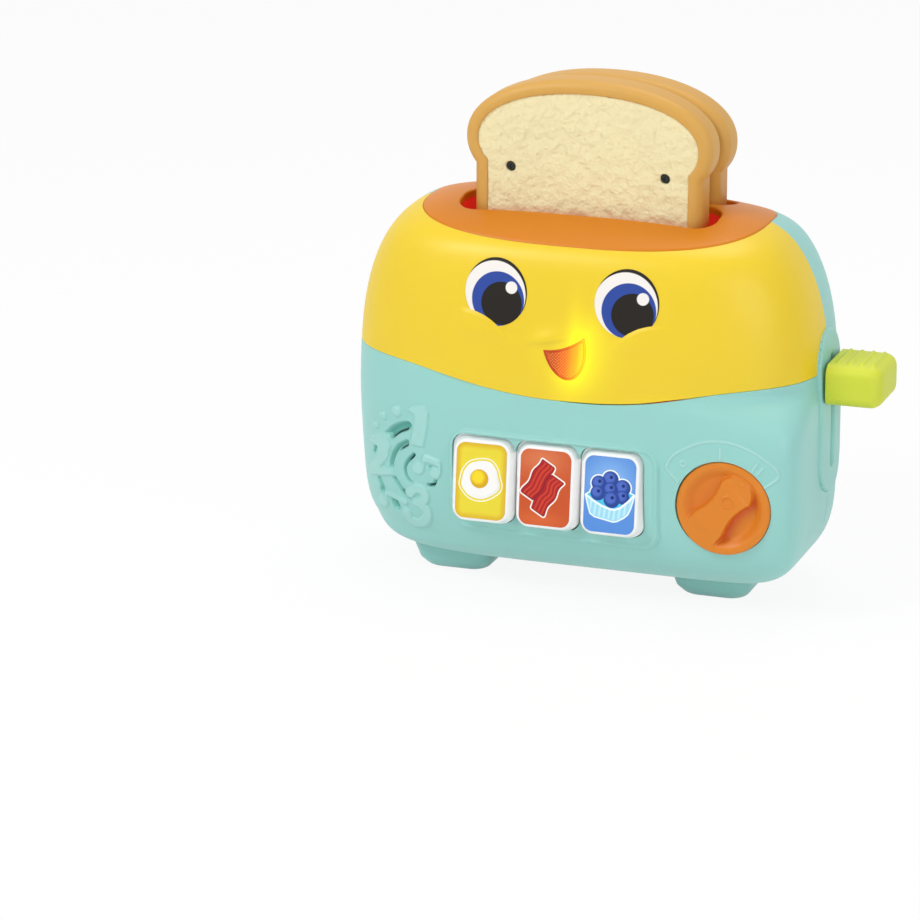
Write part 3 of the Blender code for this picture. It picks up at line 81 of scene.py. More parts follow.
seam_height = 98.0
seam_rise = 11.1
seam_middle = 3.5
seam_spread = 60.8
seam_power = 2.53
seam_gap = 0.06
lip_radius = 0.35
lip_depth = 2.0

trim_half_width = 80.6
trim_half_depth = 47.7
trim_power = 2.78
trim_proud = 0.12
trim_lip = 1.1
slot_half_length = 60.5
slot_half_width = 12.75
slot_centres = (-14.25, 14.25)
slot_corner = 10.5
slot_wall = 2.3

# Lever and the plate round its slot
plate_half_width = 17.0
plate_low = 50.0
plate_high = 126.5
plate_rise = 1.8
plate_slot_half_width = 2.6
plate_slot_low = 62.2
plate_slot_high = 114.6
lever_start = 112.1
lever_end = 137.6
lever_half_width = 17.0
lever_low = 94.7
lever_high = 113.7

# Buttons, their labels and the rim round them
button_centres = {"left": -35.3, "middle": -4.8, "right": 25.7}
button_height = 57.7
button_half_base = (15.0, 20.3)
button_half_face = (13.1, 18.4)
button_face_depth = 62.2
button_waist = 5.0
button_length = 14.5
button_lean = math.radians(6.3)
button_corner = 6.2
label_half = (11.95, 17.3)
label_corner = 4.2

# Dial
dial_x = 77.1
dial_height = 55.4
dial_radius = 21.8
dial_face = 58.2
dial_thickness = 10.8
dial_seat = 22.05

# Feet
foot_inner = 47.9
foot_width = 28.8
foot_half_length = 21.3
foot_bulge = 3.4
foot_bulge_height = 4.5
foot_flare = 6.0
foot_top = 13.5

# Eyes and mouth
eye_spacing = 61.2
eye_height = 145.0
eye_half = (14.75, 15.2)

# Slices of bread
slice_half = 8.5
slice_offset = 1.0
slice_bottom = 132.5
slice_neck = 53.5
slice_shoulder = 58.0
slice_shoulder_height = 207.2
slice_top_rise = 29.3
slice_lobe_drop = 29.0
slice_power = 2.15
slice_drops = (0.0, 3.2)
crust_rim = 6.2
screw_spots = ((-35.3, 194.6), (37.3, 194.6))


# Shapes

def signed_power(value, power):
    """The value's size raised to a power, with its sign kept."""
    return np.sign(value) * np.abs(value) ** power


def smooth(value, start, end):
    """0 before the start and 1 after the end, with level ends: t squared times (3 - 2t)."""
    share = np.clip((value - start) / (end - start), 0, 1)
    return share * share * (3 - 2 * share)


def half_sizes(height):
    """The body's half width and half depth at a height, each falling off as a superellipse of the height."""
    rise = height - widest_height
    above = rise > 0
    share = np.clip(np.abs(rise) / np.where(above, shoulder_rise, base_drop), 0, 1)
    width_power = np.where(above, width_power_above, width_power_below)
    depth_power = np.where(above, depth_power_above, depth_power_below)
    half_width = body_half_width * (1 - share ** width_power) ** (1 / width_power)
    half_depth = body_half_depth * (1 - share ** depth_power) ** (1 / depth_power)
    return half_width, half_depth


def plan_powers(x, y, height):
    """The power of the body's outline from above: fuller round the dial, slimmer at the front left."""
    right = corner_power * smooth(height, *corner_low) * (1 - smooth(height, *corner_high))
    left = base_power * (1 - smooth(height, *base_left)) - thinning * (1 - smooth(height, *thin_left))
    return plan_power + np.where(y < 0, np.where(x > 0, right, left), 0)


def crown(x, y):
    """The height of the domed top over a point: a drop with the depth and a drop towards the ends."""
    front = (np.abs(y) / trim_half_depth) ** crown_power
    end = (np.abs(x) / trim_half_width) ** crown_end_power
    return crown_height - crown_front_drop * front - crown_end_drop * end


def dome_ratio(x, y, z):
    """The height over the widest level as a share of the dome's height over it, 0 below that level."""
    return np.maximum(z - widest_height, 0) / (crown(x, y) - widest_height)


def body_points(turn, height):
    """Points on the body for a turn seen from above and a height on its sides.

    Each level is a superellipse. A point is then drawn towards the body's middle until the 34th powers of
    its share of the way out and of its share of the dome's height add up to one."""
    turn, height = np.broadcast_arrays(np.asarray(turn, float), np.asarray(height, float))
    half_width, half_depth = half_sizes(height)
    x_share, y_share = np.cos(turn), np.sin(turn)
    power = plan_powers(x_share, y_share, height)
    x = half_width * signed_power(x_share, 2 / power)
    y = half_depth * signed_power(y_share, 2 / power)
    low, high = np.zeros_like(x), np.ones_like(x)
    for _ in range(30):
        share = (low + high) / 2
        ratio = dome_ratio(share * x, share * y, widest_height + share * (height - widest_height))
        under = share ** crown_blend + ratio ** crown_blend < 1
        low, high = np.where(under, share, low), np.where(under, high, share)
    share = np.where(height > widest_height, low, 1.0)
    return body_middle + share[..., None] * (np.stack([x, y, height], -1) - body_middle)


def way_out(x, y, z):
    """The share of the way out to the plain form at which the blended dome passes through a point."""
    return np.maximum(1 - np.minimum(dome_ratio(x, y, z), 1) ** crown_blend, 1e-9) ** (1 / crown_blend)


def front_depth(x, z):
    """How far back the body's front surface lies at a point seen from the front."""
    y = np.full(np.shape(x), -50.0)
    for _ in range(5):
        share = way_out(x, y, z)
        level = widest_height + (z - widest_height) / share
        half_width, half_depth = half_sizes(level)
        power = plan_powers(x, -1.0, level)
        y = -share * half_depth * np.maximum(1 - (np.abs(x / share) / half_width) ** power,
                                             0) ** (1 / power)
    return y


def dome_height(x, y):
    """The height of the blended top over a point, by halving."""
    low, high = np.full(np.shape(x), 120.0), crown(x, y)
    for _ in range(34):
        z = (low + high) / 2
        share = way_out(x, y, z)
        level = widest_height + (z - widest_height) / share
        half_width, half_depth = half_sizes(np.minimum(level, widest_height + 0.99999 * shoulder_rise))
        power = plan_powers(x, y, level)
        inside = (np.abs(x / share) / half_width) ** power + (np.abs(y / share) / half_depth) ** power < 1
        inside &= level < widest_height + shoulder_rise
        low, high = np.where(inside, z, low), np.where(inside, high, z)
    return low


def on_front(x, z, out=0.0):
    """Points on the body's front, moved out along its normal."""
    step = 0.05
    y = front_depth(x, z)
    slope_x = (front_depth(x + step, z) - front_depth(x - step, z)) / (2 * step)
    slope_z = (front_depth(x, z + step) - front_depth(x, z - step)) / (2 * step)
    normal = np.stack([slope_x, -np.ones_like(x), slope_z], -1)
    normal /= np.linalg.norm(normal, axis=-1, keepdims=True)
    return np.stack([x, y, z], -1) + normal * np.asarray(out)[..., None]


def seam(x):
    """The height of the seam under the face: a bell turned over, level in the middle."""
    return seam_height + seam_rise * (1 - np.exp(-(np.abs(x - seam_middle) / seam_spread) ** seam_power))


def spread(start, end, spacing):
    """Values from start to end whose spacing follows a function of the value."""
    fine = np.linspace(start, end, 4001)
    amount = np.concatenate([[0], np.cumsum(1 / spacing((fine[1:] + fine[:-1]) / 2)) * (fine[1] - fine[0])])
    count = max(int(round(amount[-1])), 2)
    return np.interp(np.linspace(0, amount[-1], count + 1), amount, fine)


def box_field(p, centre, half, corner):
    """Signed distance to a rectangle with round corners."""
    q = np.abs(p - np.array(centre)) - np.array(half) + corner
    outside = np.linalg.norm(np.maximum(q, 0), axis=-1)
    return outside + np.minimum(np.max(q, -1), 0) - corner


def oval_field(p, centre, half):
    """Nearly the distance to an ellipse."""
    q = (p - np.array(centre)) / np.array(half)
    r = np.linalg.norm(q, axis=-1)
    steep = np.linalg.norm(q / np.array(half), axis=-1) / np.maximum(r, 1e-6)
    return (r - 1) / np.maximum(steep, 1e-6)


def stroke_field(p, points, width):
    """Distance to a line through points, less half its width."""
    best = np.full(p.shape[:-1], 1e9)
    for a, b in zip(points[:-1], points[1:]):
        a, b = np.array(a, float), np.array(b, float)
        along = np.clip(((p - a) @ (b - a)) / max((b - a) @ (b - a), 1e-9), 0, 1)
        best = np.minimum(best, np.linalg.norm(p - a - along[..., None] * (b - a), axis=-1))
    return best - width / 2


def superellipse_field(p, half, power):
    """Nearly the distance to a superellipse about the origin."""
    q = np.abs(p) / np.array(half)
    level = (q ** power).sum(-1)
    steep = power * np.linalg.norm(q ** (power - 1) / np.array(half), axis=-1)
    return (level - 1) / np.maximum(steep, 1e-4)


def soft_curve(points, count, closed=False):
    """A smooth line through points, by Catmull and Rom's cubic."""
    p = np.array(points, float)
    if closed:
        p = np.concatenate([p[-1:], p, p[:2]])
    else:
        p = np.concatenate([2 * p[:1] - p[1:2], p, 2 * p[-1:] - p[-2:-1]])
    t = np.linspace(0, 1, count, endpoint=False)[:, None]
    parts = []
    for a, b, c, d in zip(p[:-3], p[1:-2], p[2:-1], p[3:]):
        parts.append((2 * b + (c - a) * t + (2 * a - 5 * b + 4 * c - d) * t ** 2
                      + (3 * b - a - 3 * c + d) * t ** 3) / 2)
    return np.concatenate(parts + ([] if closed else [p[-2:-1]]))


def polygon_field(p, outline):
    """Signed distance to a closed outline of points."""
    a = np.asarray(outline, float)
    b = np.roll(a, -1, 0)
    best = np.full(p.shape[:-1], 1e9)
    crossings = np.zeros(p.shape[:-1], int)
    for start, end in zip(a, b):
        side = end - start
        along = np.clip(((p - start) @ side) / max(side @ side, 1e-12), 0, 1)
        best = np.minimum(best, np.linalg.norm(p - start - along[..., None] * side, axis=-1))
        spans = (start[1] > p[..., 1]) != (end[1] > p[..., 1])
        if start[1] != end[1]:
            level = start[0] + (p[..., 1] - start[1]) * side[0] / side[1]
            crossings += spans & (p[..., 0] < level)
    return np.where(crossings % 2 == 1, -best, best)


# Meshes

def grid_normals(points):
    """Outward normals of a grid on the body: its two directions' cross product, away from the middle."""
    across = np.gradient(points, axis=1)
    along = np.gradient(points, axis=0)
    normal = np.cross(across, along)
    normal /= np.maximum(np.linalg.norm(normal, axis=-1, keepdims=True), 1e-9)
    outward = ((points - body_middle) * normal).sum(-1, keepdims=True)
    return normal * np.where(outward < 0, -1, 1)


def grid_quads(rows, columns, wrap=False):
    """The corner numbers of a grid's faces. A wrapped grid joins its last column to its first."""
    i = np.arange(rows - 1)[:, None]
    j = np.arange(columns if wrap else columns - 1)[None, :]
    k = (j + 1) % columns
    return np.stack([i * columns + j, i * columns + k, (i + 1) * columns + k, (i + 1) * columns + j],
                    -1).reshape(-1, 4)


def face_outwards(points, faces, away):
    """The faces, all turned over if most of them look towards a point instead of away from it."""
    corners = points[faces]
    normal = np.cross(corners[:, 1] - corners[:, 0], corners[:, 2] - corners[:, 0])
    outward = (normal * (corners.mean(1) - away)).sum()
    return faces if outward > 0 else faces[:, ::-1]


def piece(name, parts, finish, body, replaces=(), colours=None, crease=None,
          normals=None):
    """A mesh object from (points, faces) pairs in millimetres, which rides on a body."""
    mesh = bpy.data.meshes.new(name)
    points = np.concatenate([p.reshape(-1, 3) for p, _ in parts])
    starts = np.cumsum([0] + [p.reshape(-1, 3).shape[0] for p, _ in parts])
    corners, totals = [], []
    for (_, faces), start in zip(parts, starts):
        corners.append((faces + start).ravel())
        totals.append(np.full(len(faces), faces.shape[1]))
    corners, totals = np.concatenate(corners), np.concatenate(totals)
    mesh.vertices.add(len(points))
    mesh.vertices.foreach_set("co", ((points + stand) * millimetre).astype(np.float32).ravel())
    mesh.loops.add(len(corners))
    mesh.loops.foreach_set("vertex_index", corners.astype(np.int32))
    mesh.polygons.add(len(totals))
    mesh.polygons.foreach_set("loop_start", np.concatenate([[0], np.cumsum(totals)[:-1]]).astype(np.int32))
    mesh.polygons.foreach_set("loop_total", totals.astype(np.int32))
    mesh.update(calc_edges=True)
    mesh.validate()
    mesh.shade_smooth()
    if crease:
        mesh.set_sharp_from_angle(angle=math.radians(crease))
    if normals is not None:
        mesh.normals_split_custom_set_from_vertices(normals.astype(np.float32))
    if colours is not None:
        layer = mesh.color_attributes.new("print", "FLOAT_COLOR", "POINT")
        if colours.shape[1] == 3:
            colours = np.concatenate([colours, np.zeros((len(colours), 1))], 1)
        layer.data.foreach_set("color", colours.astype(np.float32).ravel())
    item = bpy.data.objects.new(name, mesh)
    bpy.context.scene.collection.objects.link(item)
    mesh.materials.append(finish)
    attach(item, body)
    if replaces:
        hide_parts(*replaces)
    return item


def trimmed(grid, field):
    """The part of a flat grid where a distance field is below zero.

    Grid points less than about half a cell from the outline are moved onto it, and each cell is split
    along the diagonal that keeps to it. Returns flat points and triangles."""
    p = grid.copy()
    cell = min(np.linalg.norm(grid[0, 1] - grid[0, 0]), np.linalg.norm(grid[1, 0] - grid[0, 0]))
    cells = np.minimum(np.linalg.norm(np.gradient(grid, axis=0), axis=-1),
                       np.linalg.norm(np.gradient(grid, axis=1), axis=-1))
    step = 0.02 * cell
    near = np.abs(field(p)) < 0.62 * cells
    for _ in range(3):
        q = p[near]
        d = field(q)
        slope = np.stack([field(q + [step, 0]) - field(q - [step, 0]),
                          field(q + [0, step]) - field(q - [0, step])], -1) / (2 * step)
        p[near] = q - d[:, None] * slope / np.maximum((slope ** 2).sum(-1, keepdims=True), 1e-6)
    d = field(p)
    on = near | (np.abs(d) < 0.02 * cell)
    rows, columns = d.shape
    quads = grid_quads(rows, columns)
    flat, flags = d.ravel(), on.ravel()
    other = flags[quads[:, 1]] & flags[quads[:, 3]] & ~(flags[quads[:, 0]] & flags[quads[:, 2]])
    first = np.where(other[:, None], quads[:, [0, 1, 3]], quads[:, [0, 1, 2]])
    second = np.where(other[:, None], quads[:, [1, 2, 3]], quads[:, [0, 2, 3]])
    faces = np.concatenate([first, second])
    points = p.reshape(-1, 2)
    inside = np.all((flat[faces] < 0) | flags[faces], 1) & (field(points[faces].mean(1)) < 0)
    faces = faces[inside]
    used, renumbered = np.unique(faces, return_inverse=True)
    faces = renumbered.reshape(-1, 3)
    return points[used], faces


def onto_outline(points, normal, near, field, side):
    """Moves the marked points onto a field's zero line, along the surface. Side: -1 front, 1 back."""
    step = 0.02
    for _ in range(3):
        q = points[near][:, [0, 2]]
        slope = np.stack([field(q + [step, 0]) - field(q - [step, 0]),
                          field(q + [0, step]) - field(q - [0, step])], -1) / (2 * step)
        move = -field(q)[:, None] * slope / np.maximum((slope ** 2).sum(-1, keepdims=True), 0.2)
        n = normal[near]
        dy = -(n[:, 0] * move[:, 0] + n[:, 2] * move[:, 1]) / (side * np.maximum(side * n[:, 1], 0.2))
        points[near] += np.stack([move[:, 0], dy, move[:, 1]], -1)


def skirt(points, faces, edges, layers):
    """A surface with walls hung from its outline: one more ring of points for each layer of shifts."""
    rim, where = np.unique(edges, return_inverse=True)
    where = where.reshape(-1, 2)
    all_points, all_faces = [points], [faces]
    start = len(points)
    last = rim
    for shift in layers:
        ring = points[rim] + shift(points[rim])
        number = start + np.arange(len(rim))
        a, b = last[where[:, 0]], last[where[:, 1]]
        c, d = number[where[:, 1]], number[where[:, 0]]
        all_faces.append(np.stack([b, a, d], 1))
        all_faces.append(np.stack([b, d, c], 1))
        all_points.append(ring)
        last = number
        start += len(rim)
    return np.concatenate(all_points), np.concatenate(all_faces)


def lips(points, rows, radius=lip_radius, depth=lip_depth):
    """The grid with round lips on its first or last row, or both, that turn in and run under the surface."""
    normal = grid_normals(points)
    for row in rows:
        near, edge, out = points[1 if row == 0 else -2], points[row], normal[row]
        away = edge - near
        away -= (away * out).sum(-1, keepdims=True) * out
        away /= np.linalg.norm(away, axis=-1, keepdims=True)
        extra = []
        for turn in np.radians([22.5, 45, 67.5, 90]):
            extra.append(edge + radius * math.sin(turn) * away - radius * (1 - math.cos(turn)) * out)
        extra.append(extra[-1] - depth * out)
        extra = np.array(extra)
        points = np.concatenate([extra[::-1], points]) if row == 0 else np.concatenate([points, extra])
    return points


def loft(rings):
    """Points and faces of closed rings joined in order, closed at both ends by a fan."""
    rings = np.asarray(rings, float)
    count, size = rings.shape[:2]
    points = np.concatenate([rings.reshape(-1, 3), rings[:1].mean(1), rings[-1:].mean(1)])
    quads = grid_quads(count, size, wrap=True)
    j = np.arange(size)
    k = (j + 1) % size
    low = np.stack([k, j, np.full(size, count * size)], 1)
    high = np.stack([(count - 1) * size + j, (count - 1) * size + k, np.full(size, count * size + 1)], 1)
    triangles = np.concatenate([quads[:, [0, 1, 2]], quads[:, [0, 2, 3]], low, high])
    return points, face_outwards(points, triangles, points.mean(0))


def round_outline(centre, half, corner, power=2.0, sides=12):
    """A rectangle's outline with round corners, whose arcs have a superellipse's power."""
    points = []
    for quarter, (a, b) in enumerate(((1, 1), (-1, 1), (-1, -1), (1, -1))):
        turn = np.radians(np.linspace(90 * quarter, 90 * quarter + 90, sides + 1))
        x = centre[0] + a * (half[0] - corner) + corner * signed_power(np.cos(turn), 2 / power)
        y = centre[1] + b * (half[1] - corner) + corner * signed_power(np.sin(turn), 2 / power)
        points.append(np.stack([x, y], -1))
    return np.concatenate(points)


# Finishes

turquoise_code = "#95d0c9"


def colour(code):
    """A screen colour as linear red, green, blue and one."""
    parts = [int(code[i:i + 2], 16) / 255 for i in (1, 3, 5)]
    return [p / 12.92 if p <= 0.04045 else ((p + 0.055) / 1.055) ** 2.4 for p in parts] + [1.0]


def evenly(code, count):
    """One colour for each of a number of points."""
    return np.repeat(np.array([colour(code)[:3]]), count, 0)


def node(tree, kind, links=(), **settings):
    """A node with its settings. Links are (socket, source) pairs, where a source is a node, a (node, output)
    pair or a plain value."""
    item = tree.nodes.new(kind)
    for name, value in settings.items():
        setattr(item, name, value)
    for socket, source in links:
        target = item.inputs[socket]
        if isinstance(source, bpy.types.Node):
            tree.links.new(source.outputs[0], target)
        elif isinstance(source, tuple) and len(source) == 2 and isinstance(source[0], bpy.types.Node):
            tree.links.new(source[0].outputs[source[1]], target)
        else:
            target.default_value = source
    return item


def moulded(name, code, roughness=0.4, grain=0.35, bump=0.05, shade=0.05, subsurface=0.0, uses_print_and_light_layer=False,
            lit=0.0,
            gloss=0.5, relief_depth=0.1):
    """Moulded plastic: an even colour that drifts a little, with a fine grain that softens the gloss."""
    material = bpy.data.materials.new(name)
    material.use_nodes = True
    tree = material.node_tree
    shader = tree.nodes["Principled BSDF"]
    place = node(tree, "ShaderNodeTexCoord")
    where = (place, "Object")
    drift = node(tree, "ShaderNodeTexNoise", [("Vector", where), ("Scale", 1 / (40 * millimetre)),
                                              ("Detail", 2.0)])
    # The layer holds print and painted light: its colour is the base, painted shade and highlights included,
    # and its alpha is a painted glow
    if uses_print_and_light_layer:
        print_and_light_layer = node(tree, "ShaderNodeAttribute", attribute_name="print")
        base = (print_and_light_layer, "Color")
        tree.links.new(print_and_light_layer.outputs["Color"], shader.inputs["Emission Color"])
        tree.links.new(print_and_light_layer.outputs["Alpha"], shader.inputs["Emission Strength"])
    else:
        base = colour(code)
    dark = node(tree, "ShaderNodeHueSaturation", [("Color", base), ("Value", 1 - shade)])
    light = node(tree, "ShaderNodeMix", [(6, dark), (7, base), (0, drift)], data_type="RGBA")
    tree.links.new(light.outputs[2], shader.inputs["Base Color"])
    pits = node(tree, "ShaderNodeTexNoise", [("Vector", where), ("Scale", 1 / (grain * millimetre)),
                                             ("Detail", 2.0)])
    rough = node(tree, "ShaderNodeMapRange", [("Value", pits), ("To Min", roughness - 0.05),
                                              ("To Max", roughness + 0.05)])
    tree.links.new(rough.outputs[0], shader.inputs["Roughness"])
    relief = node(tree, "ShaderNodeBump", [("Height", pits), ("Strength", bump),
                                           ("Distance", relief_depth * millimetre)])
    tree.links.new(relief.outputs[0], shader.inputs["Normal"])
    shader.inputs["IOR"].default_value = 1.5
    shader.inputs["Specular IOR Level"].default_value = gloss
    if lit:
        shader.inputs["Emission Color"].default_value = colour(code)
        shader.inputs["Emission Strength"].default_value = lit
    if subsurface:
        shader.inputs["Subsurface Weight"].default_value = subsurface
        shader.inputs["Subsurface Radius"].default_value = (1.0, 1.0, 1.0)
        shader.inputs["Subsurface Scale"].default_value = 1.5 * millimetre
    return material


finishes = {
    # Moulded ABS with a fine spark grain: even colour, soft broad highlights, thin edges let light in
    "turquoise": moulded("turquoise_abs", turquoise_code, 0.42, subsurface=0.1),
    # The same, with painted shade in the grooves and slits and painted highlights on the raised marks, so
    # that the small slots read at a distance
    "turquoise_with_painted_light": moulded("turquoise_abs_with_grooves", turquoise_code, 0.42, subsurface=0.1,
                                 uses_print_and_light_layer=True),
    # Moulded ABS, with painted light round the lit mouth: warmer and brighter there, and glowing faintly
    "yellow_with_painted_glow": moulded("yellow_abs", "#f2d432", 0.42, uses_print_and_light_layer=True),
    # Moulded ABS with a duller skin: a plain warm top
    "orange": moulded("orange_abs", "#d47e08", 0.42, gloss=0.35),
    # Thin red ABS that daylight comes through; that light is painted on as a glow, which lights up the slots
    "red": moulded("red_translucent_abs", "#d02a1c", 0.4, lit=0.4),
    # The dial's ABS, with painted shade in its hollows
    "orange_with_painted_shade": moulded("dial_orange_abs", "#d97608", 0.4, gloss=0.35, uses_print_and_light_layer=True),
    # Clear amber styrene over a lamp: smooth, glossier than the shells; its glow and its brightening to the
    # right are painted light
    "lens": moulded("amber_lens", "#ef7a18", 0.25, uses_print_and_light_layer=True, gloss=0.35),
    # Soft moulded PVC: duller than ABS
    "lime": moulded("lime_soft_pvc", "#cfd838", 0.5),
    # Polished white ABS: the sharpest highlights on the part
    "white": moulded("white_abs", "#f8f8f8", 0.32),
    # Printed film under a matt varnish: crisp colours with hardly any gloss
    "uses_print_and_light_layer": moulded("printed_film", "#ffffff", 0.55, uses_print_and_light_layer=True, shade=0.02, gloss=0.2),
    # ABS with a fine grain, as a baked rim
    "crust": moulded("crust_brown_abs", "#d3a04a", 0.5),
    # ABS with a cast crumb texture, lumps about 5 mm across
    "crumb": moulded("crumb_cream_abs", "#f2e5b4", 0.6, grain=5.0, bump=1.0, shade=0.14, relief_depth=2.4),
    # Plain inner mouldings; the dark one is also painted shade on the slice screws, which sit in shaded holes
    "grey": moulded("grey_abs", "#8f9294", 0.5),
    "dark": moulded("dark_abs", "#1d2321", 0.6),
    # Lacquered circuit board
    "board": moulded("green_board", "#2f6b45", 0.45),
    # A small lamp of tinted epoxy
    "amber": moulded("amber_lamp", "#ef7a18", 0.2),
    # Zinc plated steel: bright, slightly brushed by the grain
    "steel": moulded("zinc_steel", "#c9ccd0", 0.3),
}
finishes["steel"].node_tree.nodes["Principled BSDF"].inputs["Metallic"].default_value = 1.0


# The body's coverings

def front_columns():
    """Turns across the front, left to right, closer together over the sound slots and the dial."""
    fine = np.linspace(math.pi, 2 * math.pi, 6001)
    p = body_points(fine, 58.0)
    run = np.concatenate([[0], np.cumsum(np.linalg.norm(np.diff(p, axis=0), axis=-1))])
    x_at = np.interp(np.linspace(0, run[-1], 6001), run, p[:, 0])

    def spacing(s):
        x = np.interp(s, np.linspace(0, run[-1], 6001), x_at)
        grille = (x > -103) & (x < -54)
        dial = (x > 42) & (x < 109)
        return np.where(grille, 0.36, np.where(dial, 0.42, np.where(np.abs(x) < 60, 0.6, 1.2)))

    stops = spread(0.0, run[-1], spacing)
    return np.interp(stops, run, fine)


def seam_at(turn, shift):
    """The height at which each turn meets the seam, found by repeating height = seam(x)."""
    height = np.full_like(turn, seam_height)
    for _ in range(12):
        height = seam(body_points(turn, height)[:, 0]) + shift
    return height


def trim_at(turn, shift):
    """The side height at which each turn's point on the dome meets the top trim's outline, by halving."""
    low, high = np.full_like(turn, 120.0), np.full_like(turn, widest_height + 0.99999 * shoulder_rise)
    half = (trim_half_width + shift, trim_half_depth + shift)
    for _ in range(40):
        middle = (low + high) / 2
        beyond = superellipse_field(body_points(turn, middle)[:, :2], half, trim_power) > 0
        low, high = np.where(beyond, middle, low), np.where(beyond, high, middle)
    return (low + high) / 2


def even_rows(turn, low, high, rows):
    """A grid between two side heights for each turn, its rows evenly spaced along the surface."""
    share = (1 - (1 - np.linspace(0, 1, 1200)) ** 3)[:, None]
    heights = low * (1 - share) + high * share
    fine = body_points(turn[None, :], heights)
    run = np.concatenate([np.zeros((1, len(turn))), np.cumsum(np.linalg.norm(np.diff(fine, axis=0),
                                                                             axis=-1), 0)])
    stops = np.linspace(0, 1, rows)[:, None] * run[-1]
    index = np.clip((run[None, :, :] < stops[:, None, :]).sum(1), 1, len(share) - 1)
    column = np.arange(len(turn))[None, :]
    before, after = run[index - 1, column], run[index, column]
    part = (stops - before) / np.maximum(after - before, 1e-9)
    return body_points(turn[None, :], heights[index - 1, column] * (1 - part)
                       + heights[index, column] * part)


def lower_heights(top):
    """Heights from the middle of the base up to a level, closer where the base turns up."""
    angle = np.radians(np.linspace(-89.3, -28, 46))
    base = widest_height - base_drop * np.abs(np.sin(angle)) ** 0.5
    return np.concatenate([base[base < top - 1.0], [top]])


knob_centre = np.array([dial_x, dial_height])


def window_field(p):
    """The openings round the three caps, as one outline."""
    fields = [box_field(p, (x, button_height), (button_half_base[0] + 0.3, button_half_base[1] + 0.35),
                        button_corner + 0.2)
              for x in button_centres.values()]
    return np.minimum.reduce(fields)


def seat_field(p):
    """The round seat that the dial turns in."""
    return np.linalg.norm(p - knob_centre, axis=-1) - dial_seat


def holes_field(p):
    """Below zero inside any opening of the lower front."""
    return np.minimum(window_field(p), seat_field(p))


def bezel_height(p):
    """The raised frame round the caps: a flat band with a soft outer edge and a shallow step inside."""
    f = box_field(p, (-2.4, 56.0), (50.1, 24.4), 9.0)
    return 1.5 * (1 - smooth(f, -1.1, 0.3)) - 0.7 * (1 - smooth(f, -2.7, -1.7))


# Sound slots: numbers, notes and rings, as lines with a width
number_one = [(-74.0, 84.9), (-71.2, 87.0), (-64.4, 88.4), (-63.0, 85.1), (-63.9, 77.0), (-66.0, 68.3),
              (-73.0, 68.2), (-70.6, 77.0), (-69.9, 83.0)]
number_two = [(-98.4, 62.8), (-95.9, 66.7), (-90.4, 69.8), (-85.7, 69.2), (-84.3, 64.7), (-86.3, 58.8),
              (-91.2, 52.6), (-84.2, 52.9), (-83.5, 50.5), (-99.2, 45.7), (-99.9, 48.9), (-92.5, 58.1),
              (-91.3, 62.3), (-93.8, 62.8)]
number_three = [([(-74.5, 43.6), (-72.6, 46.0), (-69.4, 47.0), (-66.4, 45.6), (-66.6, 42.0), (-69.4, 39.6),
                (-66.0, 37.4), (-65.6, 33.8), (-68.2, 30.2), (-72.4, 28.4), (-76.0, 29.8), (-77.4, 33.0)],
                5.2), ([(-71.6, 39.6), (-70.0, 39.6)], 4.6)]
note_marks = [([(-69.5, 57.2), (-69.1, 57.2)], 6.3), ([(-60.4, 56.3), (-60.0, 56.3)], 5.8), ([(-66.8, 57.6),
              (-65.8, 62.6)], 2.4), ([(-65.2, 62.9), (-58.6, 61.6)], 3.9), ([(-57.7, 61.4), (-57.8, 57.0)],
              2.3), ([(-91.6, 34.9), (-91.2, 34.9)], 6.4), ([(-89.3, 36.0), (-88.9, 40.0)], 2.0), ([(-88.2,
              40.0), (-83.4, 39.6), (-77.6, 38.2)], 3.2)]
sound_dots = [((-80.3, 82.7), 2.9), ((-88.1, 78.8), 2.2), ((-93.0, 73.0), 2.0)]
grooves = [([(-86.2, 69.2), (-81.8, 73.4), (-77.8, 75.8), (-74.4, 76.8)], 4.4), ([(-83.8, 50.0), (-84.8,
           54.5), (-83.4, 60.0), (-80.2, 65.0), (-75.2, 68.6)], 2.6), ([(-83.6, 49.0), (-79.2, 43.9),
           (-75.0, 41.4)], 2.6), ([(-71.6, 63.2), (-75.2, 59.2), (-76.8, 55.4), (-75.8, 51.0), (-73.0,
           48.8)], 1.9), ([(-60.0, 53.6), (-61.4, 50.4), (-64.4, 49.6)], 1.8), ([(-93.4, 45.4), (-91.8,
           42.2), (-92.0, 39.8)], 3.0), ([(-94.4, 62.2), (-95.8, 58.0)], 1.9), ([(-84.8, 37.0), (-83.6,
           34.2)], 4.4), ([(-62.9, 58.6), (-62.5, 58.6)], 1.8)]
slits = [([(-83.4, 69.0), (-79.4, 72.4), (-75.0, 74.6)], 0.9), ([(-79.0, 64.2), (-74.8, 67.2)], 0.8),
         ([(-74.4, 59.6), (-71.8, 62.4)], 0.8), ([(-79.4, 43.4), (-75.6, 41.0)], 0.8), ([(-61.4, 50.0),
         (-64.0, 49.2)], 0.7)]


def strokes(p, lines):
    """The distance to the nearest of several drawn strokes, each with its width."""
    curves = [(soft_curve(points, 5) if len(points) > 2 else points, width) for points, width in lines]
    return np.minimum.reduce([stroke_field(p, points, width) for points, width in curves])


def sound_marks(p):
    """The depth of the sound slots' grooves, the raised marks' height and the slits' share at points."""
    marks = np.minimum.reduce([polygon_field(p, number_one) - 0.4, polygon_field(p, number_two) - 0.4,
                               strokes(p, number_three), strokes(p, note_marks)])
    dots = np.minimum.reduce([np.linalg.norm(p - np.array(c), axis=-1) - r for c, r in sound_dots])
    low = np.maximum(strokes(p, grooves), 0.5 - marks)
    slit = np.maximum(strokes(p, slits), 0.7 - marks)
    return marks, dots, low, slit


